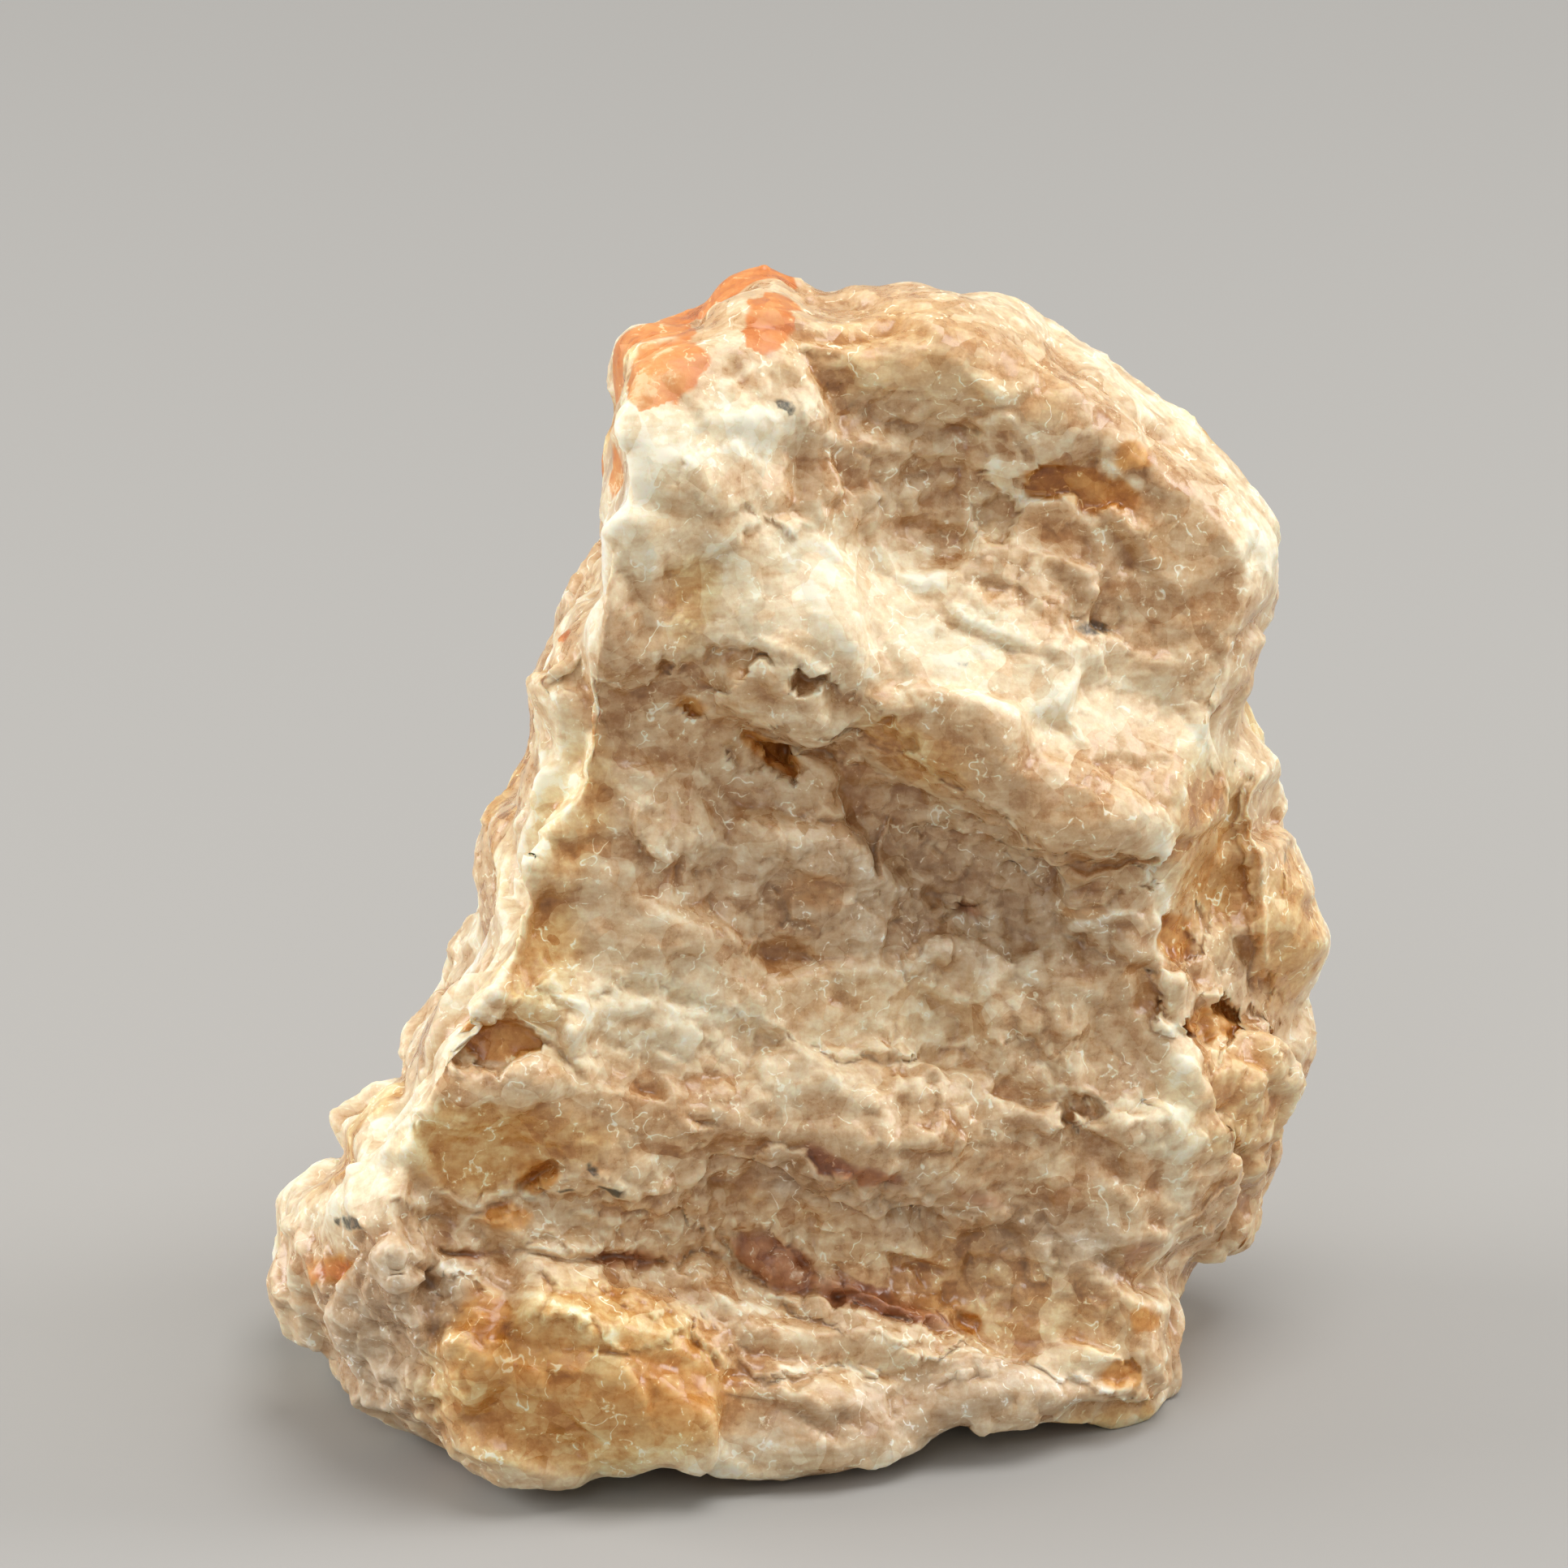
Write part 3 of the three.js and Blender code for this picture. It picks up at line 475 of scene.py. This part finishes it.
# Each patch: finish, then centre, half width, half height, turn and softness, and strength
patches = [
    # frosted white rock and also painted highlight: the band above the brow faces up to the top lamp
    ("frostAndHighlight", (1130, 760, 330, 70, 26, 0.5), 0.9),       # pale band above the brow
    ("frostAndHighlight", (900, 700, 130, 80, 30, 0.6), 0.6),
    # frosted rock and painted highlight on the lit left shoulder
    ("frostAndHighlight", (790, 560, 60, 150, 8, 0.5), 1.0),         # left shoulder
    ("frostAndHighlight", (860, 540, 130, 50, -8, 0.6), 0.9),
    ("frostAndHighlight", (850, 640, 90, 90, 0, 0.6), 0.7),
    # frosted rock and painted highlight on the lit top right edge
    ("frostAndHighlight", (1440, 500, 230, 36, 38, 0.5), 0.9),       # top right edge
    ("frostAndHighlight", (1550, 640, 34, 90, 0, 0.5), 0.8),
    ("frostAndHighlight", (1260, 360, 80, 30, 20, 0.6), 0.6),
    ("frostAndHighlight", (1440, 870, 110, 40, 30, 0.5), 0.7),
    # frosted rock and painted highlight where the shelf faces up
    ("frostAndHighlight", (800, 1260, 170, 60, 8, 0.6), 0.75),       # shelf
    ("frostAndHighlight", (1000, 1300, 260, 60, 6, 0.7), 0.5),
    ("frostAndHighlight", (1250, 1190, 120, 50, -20, 0.7), 0.4),
    ("frostAndHighlight", (1390, 1366, 46, 18, 0, 0.5), 0.8),
    # frosted rock and painted highlight on the lit right arris
    ("frostAndHighlight", (1432, 1120, 14, 120, 0, 0.6), 0.7),       # right arris
    ("frostAndHighlight", (1448, 1450, 14, 160, 0, 0.6), 0.6),
    # frosted rock and painted highlight on the lit left flank
    ("frostAndHighlight", (660, 1000, 34, 150, 22, 0.5), 0.9),       # left flank
    ("frostAndHighlight", (560, 1240, 30, 130, 24, 0.5), 0.9),
    ("frostAndHighlight", (470, 1400, 50, 90, 20, 0.5), 0.9),
    ("frostAndHighlight", (390, 1480, 60, 40, 0, 0.6), 0.7),
    ("frostAndHighlight", (1250, 1705, 170, 24, -6, 0.6), 0.35),
    ("frostAndHighlight", (1260, 1260, 170, 60, 0, 0.6), 0.4),
    ("frostAndHighlight", (900, 1800, 260, 30, 0, 0.7), 0.5),
    ("honey", (1090, 430, 170, 80, 0, 0.7), 0.5),
    ("honey", (1250, 470, 120, 60, 20, 0.7), 0.4),
    ("honey", (700, 1000, 60, 130, 20, 0.6), 0.6),
    ("honey", (660, 1180, 60, 90, 10, 0.6), 0.7),
    ("honey", (590, 1410, 100, 60, 0, 0.6), 0.9),
    ("honey", (700, 1410, 70, 36, 0, 0.6), 0.6),
    ("honey", (720, 1700, 190, 110, 4, 0.5), 1.0),
    ("amberAndHollowShade", (640, 1680, 90, 70, 10, 0.8), 0.6),
    ("amberAndHollowShade", (800, 1720, 100, 60, 0, 0.8), 0.55),
    ("greyAndShade", (1150, 1740, 260, 50, -8, 0.6), 0.7),
    ("amberAndHollowShade", (560, 1440, 60, 40, 0, 0.8), 0.45),
    ("honey", (1130, 930, 90, 40, 35, 0.6), 0.6),
    ("honey", (1500, 1040, 70, 150, 0, 0.6), 0.55),
    ("honey", (1590, 1150, 50, 110, 0, 0.6), 0.6),
    ("honey", (1510, 1350, 80, 110, 0, 0.6), 0.5),
    ("honey", (1250, 1600, 220, 80, 10, 0.6), 0.5),
    ("honey", (850, 740, 40, 70, 0, 0.6), 0.6),
    # amber in the window, holes, nook under the brow, slot, corner and pockets below is clear amber rock and
    # painted shade in their depth
    ("amberAndHollowShade", (1330, 600, 74, 28, 12, 0.25), 1.0),
    ("amberAndHollowShade", (1400, 562, 28, 22, 0, 0.4), 0.8),
    ("amberAndHollowShade", (948, 922, 42, 20, 24, 0.4), 1.0),
    ("amberAndHollowShade", (850, 862, 28, 14, 0, 0.5), 0.8),
    ("amberAndHollowShade", (1000, 1100, 60, 36, 0, 0.6), 0.5),
    ("amberAndHollowShade", (612, 1286, 58, 20, 6, 0.35), 1.0),
    ("amberAndHollowShade", (404, 1566, 30, 24, 0, 0.6), 0.8),
    ("amberAndHollowShade", (1490, 1262, 38, 24, -10, 0.4), 1.0),
    ("amberAndHollowShade", (1452, 1150, 24, 28, 0, 0.5), 1.0),
    ("amberAndHollowShade", (1385, 1696, 26, 20, 0, 0.4), 1.0),
    ("amberAndHollowShade", (1414, 1628, 20, 16, 0, 0.4), 0.7),
    ("amberAndHollowShade", (1196, 1631, 16, 14, 0, 0.4), 0.9),
    ("amberAndHollowShade", (620, 1500, 40, 24, 0, 0.5), 0.8),
    ("amberAndHollowShade", (662, 1450, 24, 18, 0, 0.5), 1.0),
    ("amberAndHollowShade", (600, 1620, 40, 50, 20, 0.6), 0.7),
    ("amberAndHollowShade", (1330, 1115, 40, 26, 0, 0.6), 0.5),
    # greyer and darker over the recess under the brow: grey rock and painted shade
    ("greyAndShade", (1130, 1110, 320, 90, 8, 0.6), 0.7),
    ("greyAndShade", (1050, 1000, 200, 60, 10, 0.6), 0.4),
    ("greyAndShade", (1080, 600, 170, 70, 20, 0.6), 0.35),
    ("greyAndShade", (1350, 720, 160, 60, 0, 0.6), 0.4),
    ("greyAndShade", (1280, 1560, 120, 80, 0, 0.5), 0.8),
    ("greyAndShade", (470, 1640, 110, 130, 30, 0.6), 0.8),
    ("greyAndShade", (1100, 1480, 130, 50, 10, 0.6), 0.6),
    ("greyAndShade", (980, 1455, 54, 40, 0, 0.5), 0.8),
    ("rust", (1050, 1432, 80, 16, 26, 0.5), 0.8),
    ("rust", (958, 1556, 54, 34, 30, 0.5), 1.0),
    ("rust", (1080, 1610, 110, 26, 18, 0.6), 0.8),
    ("rust", (770, 1552, 60, 12, -2, 0.8), 0.7),
    ("rust", (590, 1545, 52, 12, 6, 0.8), 0.6),
    ("rust", (1190, 1120, 30, 26, 20, 0.5), 0.6),
    ("rust", (1410, 1545, 34, 30, 0, 0.6), 0.6),
    ("rust", (1200, 1470, 40, 12, 30, 0.6), 0.6),
    ("rust", (1440, 1020, 40, 60, 0, 0.6), 0.3),
    ("garnet", (808, 448, 64, 54, -20, 0.2), 1.0),
    ("garnet", (950, 395, 26, 40, 35, 0.4), 0.7),
    ("garnet", (748, 572, 10, 36, 0, 0.5), 1.0),
    ("garnet", (700, 762, 12, 32, 16, 0.5), 0.9),
    ("garnet", (404, 1566, 24, 18, 0, 0.6), 0.5),
    ("speck", (1358, 774, 22, 8, 8, 0.6), 0.8),
    ("speck", (1183, 820, 13, 8, 20, 0.6), 0.6),
    ("speck", (752, 1464, 14, 12, 0, 0.5), 1.0),
    ("speck", (728, 1436, 14, 7, 0, 0.5), 0.8),
    ("speck", (700, 1470, 20, 5, 0, 0.5), 0.8),
    ("speck", (430, 1512, 16, 12, 30, 0.5), 0.8),
    ("speck", (960, 498, 8, 8, 0, 0.5), 0.8),
    ("speck", (1110, 1500, 16, 10, 0, 0.5), 0.5),
]

# White veins: places, width in pixels, strength
veins = [
    ([(770, 580), (800, 552), (850, 536), (905, 530), (960, 520)], 16, 0.8),
    ([(775, 560), (830, 605), (880, 660), (950, 705), (1010, 760), (1070, 820), (1110, 850)], 18, 0.9),
    ([(770, 560), (778, 640), (790, 700)], 16, 0.7),
    ([(880, 640), (1000, 660), (1100, 720), (1160, 760), (1200, 800), (1260, 850), (1330, 860)], 22, 0.9),
    ([(1110, 700), (1140, 770), (1120, 830), (1150, 880)], 14, 0.7),
    ([(925, 450), (905, 470), (880, 480)], 14, 0.8),
    ([(1365, 570), (1385, 590), (1420, 605)], 14, 1.0),
    ([(1225, 520), (1215, 560), (1232, 600), (1260, 618), (1320, 622), (1350, 640)], 14, 0.9),
    ([(560, 1490), (585, 1500), (560, 1520)], 12, 0.9),
    ([(600, 1470), (640, 1466), (670, 1480)], 9, 0.8),
    ([(540, 1560), (600, 1580), (660, 1600), (720, 1634), (760, 1648)], 12, 0.8),
    ([(830, 1600), (900, 1618), (960, 1640), (1010, 1655)], 14, 0.7),
    ([(970, 1672), (1100, 1690), (1200, 1684), (1290, 1690), (1400, 1728)], 12, 0.9),
    ([(1150, 1640), (1220, 1690), (1320, 1700)], 10, 0.7),
    ([(1250, 1210), (1290, 1170), (1350, 1130), (1390, 1120)], 20, 0.7),
    ([(1425, 1060), (1420, 1130), (1432, 1190)], 14, 0.9),
    ([(1470, 940), (1450, 1000), (1430, 1060)], 12, 0.6),
    ([(1440, 1260), (1446, 1350), (1452, 1420), (1448, 1520), (1440, 1620)], 14, 0.8),
    ([(1310, 1330), (1330, 1360), (1375, 1352), (1420, 1356)], 12, 0.9),
    ([(960, 1100), (1050, 1110), (1110, 1080)], 10, 0.4),
    ([(760, 1500), (860, 1510), (930, 1500)], 10, 0.4),
]

# Drifts of finishes over the rear: mm across, seed, side of the noise, where it starts and ends, strength
drifts = {
    "frostAndHighlight": (6.0, 21, 1, 0.05, 0.4, 0.9),
    "honey": (4.0, 22, 1, 0.0, 0.4, 0.9),
    "greyAndShade": (4.0, 22, -1, 0.1, 0.5, 0.7),
    "rust": (3.0, 23, 1, 0.35, 0.6, 0.5),
}


def paintStone(body, front, garnet, x, y):
    mesh = body.data
    values = {name: np.zeros(len(x)) for name in painted}
    for finish, shape, strength in patches:
        values[finish] = np.maximum(values[finish], strength * spotAt(x, y, shape) * front)
    for line, width, strength in veins:
        vein = smoothStep(lineAt(x, y, line, width), 0, 0.8)
        values["frostAndHighlight"] = np.maximum(values["frostAndHighlight"], strength * vein * front)
    vectors = [Vector(p) for p in readMesh(mesh)[0]]
    for finish, (size, seed, side, low, high, strength) in drifts.items():
        drift = smoothStep(side * noiseAt(vectors, size, 3, seed), low, high)
        values[finish] += (1 - front) * drift * strength
    values["garnet"] = np.maximum(values["garnet"], garnet)
    for name, amounts in values.items():
        saveValue(mesh, name, amounts)


def linear(code):
    # sRGB hex to the linear values that a shader takes
    parts = [int(code[i:i + 2], 16) / 255 for i in (0, 2, 4)]
    return tuple(c / 12.92 if c <= 0.04045 else ((c + 0.055) / 1.055) ** 2.4 for c in parts) + (1.0,)


def addNode(tree, kind, settings=None, sockets=None):
    # adds a node; settings are its own values, sockets are constants or the outputs that link in
    node = tree.nodes.new(kind)
    for name, value in (settings or {}).items():
        setattr(node, name, value)
    for name, value in (sockets or {}).items():
        if isinstance(value, bpy.types.NodeSocket):
            tree.links.new(value, node.inputs[name])
        else:
            node.inputs[name].default_value = value
    return node


rock = {
    "mottles": {                      # mm across, detail and roughness
        "broad": (3.2, 1, 0.6),
        "middle": (0.9, 3, 0.6),
        "fine": (0.22, 4, 0.75),
    },
    "streaks": (0.26, 0.28, 24),      # mm across, width to length, and degrees that they fall to the right
    "wander": (1.1, 1.1),             # mm: size of the waves in the large grains' edges, and their reach
    "grains": {"grain": 1.4, "smallGrain": 0.42},    # mm across
    "lean": 0.4,                      # how far the faces of the small grains lean
    "threads": (0.8, 0.016, 0.5),     # mm across their curls, width as a share of the noise, and whiteness
    "threadGroups": (0.98, 1.14),     # sum of two noises from which threads start, and where they are full
    "whiteStart": 0.50,
    # how far each thing moves the rock from clear and deep to crushed and white; through ridge and height,
    # hollows get painted shade
    "whiteFrom": {"ridge": 0.20, "height": 0.14, "grain": 0.28, "smallGrain": 0.20, "middle": 0.44,
                  "fine": 0.56, "streak": 0.42},
    # the frost patches hold painted highlight as well as frost
    "frostAndHighlight": 0.34,                    # the same for the painted frost
    # share and colour from clear to white
    "tan": [(0.0, "84532D"), (0.28, "B08052"), (0.45, "CBA67C"), (0.62, "DEC39D"), (0.82, "EEE0C0"),
            (1.0, "F6F0DB")],
    # where a finish starts and ends, how far its edge is broken up, its strength, and its colours
    "finishes": {
        "warm": (0.35, 0.75, 0.2, 0.3, [(0.0, "85501E"), (0.28, "B87B3D"), (0.48, "D09C5C"), (0.68, "E2BC85"),
                                        (0.86, "F2DEB6"), (1.0, "FCF3DC")]),
        # grey: grey rock, and painted shade over the recess under the brow
        "greyAndShade": (0.2, 0.9, 0.4, 0.85, [(0.0, "6E5239"), (0.28, "9C7C5C"), (0.48, "B99B7A"), (0.68, "D2BCA0"),
                                       (0.86, "EADDCA"), (1.0, "F8F3EA")]),
        "honey": (0.2, 0.8, 0.4, 0.95, [(0.0, "8A541C"), (0.28, "B87833"), (0.48, "D19A55"), (0.68, "E6C588"),
                                        (0.86, "F3E2B0"), (1.0, "FBF5DC")]),
        # amber: clear amber rock, and painted shade where it lies in holes and nooks
        "amberAndHollowShade": (0.3, 0.7, 0.25, 0.9, [(0.1, "8A4A12"), (0.4, "B9752A"), (0.7, "D9A055"), (1.0, "EFD3A2")]),
        "rust": (0.3, 0.8, 0.4, 0.85, [(0.1, "5A2A16"), (0.4, "8C4A28"), (0.7, "B9784B"), (1.0, "E8CFB4")]),
        "garnet": (0.3, 0.6, 0.25, 1.0, [(0.2, "AE5A24"), (0.55, "D58344"), (0.85, "E3A060"),
                                         (1.0, "F0C795")]),
    },
    "speck": "26241C",
    "speckEdge": (0.8, 0.75, 1.3, 0.9),   # how far it is broken up, where it starts and ends, and strength
    "gloss": (0.3, 0.9, 0.24, 0.55),      # whiteness of clear and of chalky rock, and the roughness of each
    "bump": 0.8,
    "scatter": (0.5, (1.0, 0.6, 0.32), 0.2),    # share, reach of red, green and blue, and mm of that reach
}


def rockMaterial():
    # massive feldspar and quartz: waxy and see-through at thin edges, chalky where it is crushed white
    material = bpy.data.materials.new("broken garnet rock")
    material.use_nodes = True
    tree = material.node_tree
    tree.nodes.clear()
    place = addNode(tree, "ShaderNodeTexCoord").outputs["Object"]

    parts = {}
    for name in ("ridge", "height", *painted):
        parts[name] = addNode(tree, "ShaderNodeAttribute", {"attribute_name": name}).outputs["Fac"]
    for name, (size, detail, roughness) in rock["mottles"].items():
        mottle = addNode(tree, "ShaderNodeTexNoise", None, {
            "Vector": place, "Scale": 1 / (size * mm), "Detail": detail, "Roughness": roughness})
        parts[name] = mottle.outputs["Fac"]
    parts["warm"] = parts["broad"]

    # the large grains' edges wander with a noise, and each small grain is a plane with its own lean
    size, reach = rock["wander"]
    wave = addNode(tree, "ShaderNodeTexNoise", None, {
        "Vector": place, "Scale": 1 / (size * mm), "Detail": 1.0}).outputs["Color"]
    places = addNode(tree, "ShaderNodeVectorMath", {"operation": "MULTIPLY_ADD"}, {
        0: wave, 1: (reach * mm, reach * mm, reach * mm), 2: place}).outputs[0]
    for name, vector in (("grain", places), ("smallGrain", place)):
        cells = addNode(tree, "ShaderNodeTexVoronoi", None, {
            "Vector": vector, "Scale": 1 / (rock["grains"][name] * mm)})
        parts[name] = cells.outputs["Color"]
    inside = addNode(tree, "ShaderNodeVectorMath", {"operation": "SUBTRACT"}, {
        0: place, 1: cells.outputs["Position"]}).outputs[0]
    lean = rock["lean"]
    turn = addNode(tree, "ShaderNodeVectorMath", {"operation": "MULTIPLY_ADD"}, {
        0: cells.outputs["Color"], 1: (lean, lean, lean), 2: (-lean / 2, -lean / 2, -lean / 2)}).outputs[0]
    plane = addNode(tree, "ShaderNodeVectorMath", {"operation": "DOT_PRODUCT"}, {
        0: inside, 1: turn}).outputs["Value"]

    # streaks of crushed white along the way the ledges fall
    size, narrow, fall = rock["streaks"]
    long = addNode(tree, "ShaderNodeMapping", None, {
        "Vector": place, "Rotation": (0.0, -math.radians(fall), 0.0), "Scale": (narrow, 1.0, 1.0)}).outputs[0]
    parts["streak"] = addNode(tree, "ShaderNodeTexNoise", None, {
        "Vector": long, "Scale": 1 / (size * mm), "Detail": 2.0, "Roughness": 0.6}).outputs["Fac"]

    # short white threads, where the curls of a noise cross its middle value
    size, width, whiteness = rock["threads"]
    curls = addNode(tree, "ShaderNodeTexNoise", None, {
        "Vector": place, "Scale": 1 / (size * mm), "Detail": 2.0}).outputs["Fac"]
    curls = addNode(tree, "ShaderNodeMath", {"operation": "SUBTRACT"}, {0: curls, 1: 0.5}).outputs[0]
    curls = addNode(tree, "ShaderNodeMath", {"operation": "ABSOLUTE"}, {0: curls}).outputs[0]
    threads = addNode(tree, "ShaderNodeMapRange", {"interpolation_type": "SMOOTHSTEP"}, {
        "Value": curls, "From Max": width, "To Min": whiteness, "To Max": 0.0}).outputs[0]
    groups = addNode(tree, "ShaderNodeMath", {"operation": "ADD"}, {
        0: parts["fine"], 1: parts["middle"]}).outputs[0]
    low, high = rock["threadGroups"]
    groups = addNode(tree, "ShaderNodeMapRange", {"interpolation_type": "SMOOTHSTEP"}, {
        "Value": groups, "From Min": low, "From Max": high}).outputs[0]

    # how white the rock is: crushed on ridges, frosted and painted highlight in the frost patches, and darker
    # in hollows as painted shade
    start = rock["whiteStart"] - sum(rock["whiteFrom"].values()) / 2
    white = addNode(tree, "ShaderNodeMath", {"operation": "MULTIPLY_ADD"}, {
        0: threads, 1: groups, 2: start}).outputs[0]
    for name, reach in (*rock["whiteFrom"].items(), ("frostAndHighlight", rock["frostAndHighlight"])):
        white = addNode(tree, "ShaderNodeMath", {"operation": "MULTIPLY_ADD"}, {
            0: parts[name], 1: reach, 2: white}).outputs[0]

    colour = None
    finishes = {"tan": (0, 0, 0, 1, rock["tan"]), **rock["finishes"]}
    for name, (low, high, spread, strength, stops) in finishes.items():
        ramp = addNode(tree, "ShaderNodeValToRGB", None, {0: white})
        while len(ramp.color_ramp.elements) < len(stops):
            ramp.color_ramp.elements.new(0.5)
        for element, (share, code) in zip(ramp.color_ramp.elements, stops):
            element.position = share
            element.color = linear(code)
        if colour is None:
            colour = ramp.outputs[0]
            continue
        edge = addNode(tree, "ShaderNodeMath", {"operation": "MULTIPLY_ADD"}, {
            0: parts["middle"], 1: spread, 2: parts[name]}).outputs[0]
        edge = addNode(tree, "ShaderNodeMath", {"operation": "MULTIPLY_ADD"}, {
            0: parts["fine"], 1: spread, 2: edge}).outputs[0]
        share = addNode(tree, "ShaderNodeMapRange", {"interpolation_type": "SMOOTHSTEP"}, {
            "Value": edge, "From Min": low + spread, "From Max": high + spread,
            "To Max": strength}).outputs[0]
        colour = addNode(tree, "ShaderNodeMix", {"data_type": "RGBA"}, {
            0: share, 6: colour, 7: ramp.outputs[0]}).outputs[2]
    spread, low, high, strength = rock["speckEdge"]
    edge = addNode(tree, "ShaderNodeMath", {"operation": "MULTIPLY_ADD"}, {
        0: parts["fine"], 1: spread, 2: parts["speck"]}).outputs[0]
    share = addNode(tree, "ShaderNodeMapRange", {"interpolation_type": "SMOOTHSTEP"}, {
        "Value": edge, "From Min": low, "From Max": high, "To Max": strength}).outputs[0]
    colour = addNode(tree, "ShaderNodeMix", {"data_type": "RGBA"}, {
        0: share, 6: colour, 7: linear(rock["speck"])}).outputs[2]

    # clear grains shine like glass and white ones are chalky
    low, high, glassy, chalky = rock["gloss"]
    gloss = addNode(tree, "ShaderNodeMapRange", {"interpolation_type": "SMOOTHSTEP"}, {
        "Value": white, "From Min": low, "From Max": high, "To Min": glassy, "To Max": chalky}).outputs[0]
    bump = addNode(tree, "ShaderNodeBump", None, {
        "Strength": rock["bump"], "Distance": 1.0, "Height": plane}).outputs["Normal"]
    weight, radius, reach = rock["scatter"]
    shader = addNode(tree, "ShaderNodeBsdfPrincipled", {"subsurface_method": "RANDOM_WALK"}, {
        "Base Color": colour, "Roughness": gloss, "IOR": 1.54, "Subsurface Weight": weight,
        "Subsurface Radius": radius, "Subsurface Scale": reach * mm, "Normal": bump})
    addNode(tree, "ShaderNodeOutputMaterial", None, {"Surface": shader.outputs[0]})
    return material


def addStone():
    body = makeBody("garnetStone")
    divideFront(body)
    print("stone divided:", len(body.data.polygons), "triangles")
    front, garnet, x, y = shapeStone(body)
    print("stone shaped")
    paintStone(body, front, garnet, x, y)
    body.data.materials.append(rockMaterial())
    for polygon in body.data.polygons:
        polygon.use_smooth = True
    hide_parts("garnet_stone")
    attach(body, "root")
    print("stone painted")


studio = {
    "floorSize": 3.0,
    "floorColour": "A3A19E",
    "worldColour": "E2E0DB",
    "worldStrength": 0.66,
    "target": (0, 0, 0.012),
    "lights": {                       # place in m, width in m and power in W
        "top": ((0.06, -0.02, 0.30), 0.20, 0.56),
        "left": ((-0.28, 0.03, 0.12), 0.16, 0.55),
        "right": ((0.28, 0.04, 0.14), 0.16, 0.42),
        "front": ((-0.10, -0.35, 0.30), 0.20, 0.2),
    },
}


def addStudio():
    form = bmesh.new()
    bmesh.ops.create_grid(form, x_segments=1, y_segments=1, size=studio["floorSize"] / 2)
    mesh = bpy.data.meshes.new("floor")
    form.to_mesh(mesh)
    form.free()
    floor = bpy.data.objects.new("floor", mesh)
    bpy.context.scene.collection.objects.link(floor)
    material = bpy.data.materials.new("pale paper")
    material.use_nodes = True
    shader = material.node_tree.nodes["Principled BSDF"]
    shader.inputs["Base Color"].default_value = linear(studio["floorColour"])
    shader.inputs["Roughness"].default_value = 0.9
    mesh.materials.append(material)

    world = bpy.data.worlds.new("studio")
    world.use_nodes = True
    world.node_tree.nodes["Background"].inputs["Color"].default_value = linear(studio["worldColour"])
    world.node_tree.nodes["Background"].inputs["Strength"].default_value = studio["worldStrength"]
    bpy.context.scene.world = world
    bpy.context.scene.view_settings.view_transform = "Standard"

    for name, (place, size, power) in studio["lights"].items():
        lamp = bpy.data.lights.new(name, "AREA")
        lamp.shape = "DISK"
        lamp.size = size
        lamp.energy = power
        light = bpy.data.objects.new(name, lamp)
        light.location = place
        aim = Vector(studio["target"]) - Vector(place)
        light.rotation_euler = aim.to_track_quat("-Z", "Y").to_euler()
        bpy.context.scene.collection.objects.link(light)


def addCamera():
    eyeX, eyeY, eyeDistance = view["eye"]
    shiftX, shiftY, shiftZ = view["shift"]
    sine, cosine = math.sin(view["tilt"]), math.cos(view["tilt"])
    data = bpy.data.cameras.new("camera")
    data.lens = view["lens"]
    data.sensor_width = 36
    data.clip_start = 0.01
    data.clip_end = 10
    camera = bpy.data.objects.new("camera", data)
    camera.location = (
        (eyeX + shiftX) * mm,
        (eyeY * sine - eyeDistance * cosine + shiftY) * mm,
        (eyeY * cosine + eyeDistance * sine + shiftZ) * mm,
    )
    camera.rotation_euler = (math.pi / 2 - view["tilt"], 0, 0)
    bpy.context.scene.collection.objects.link(camera)
    bpy.context.scene.camera = camera


addStone()
addStudio()
addCamera()
print("studio ready")
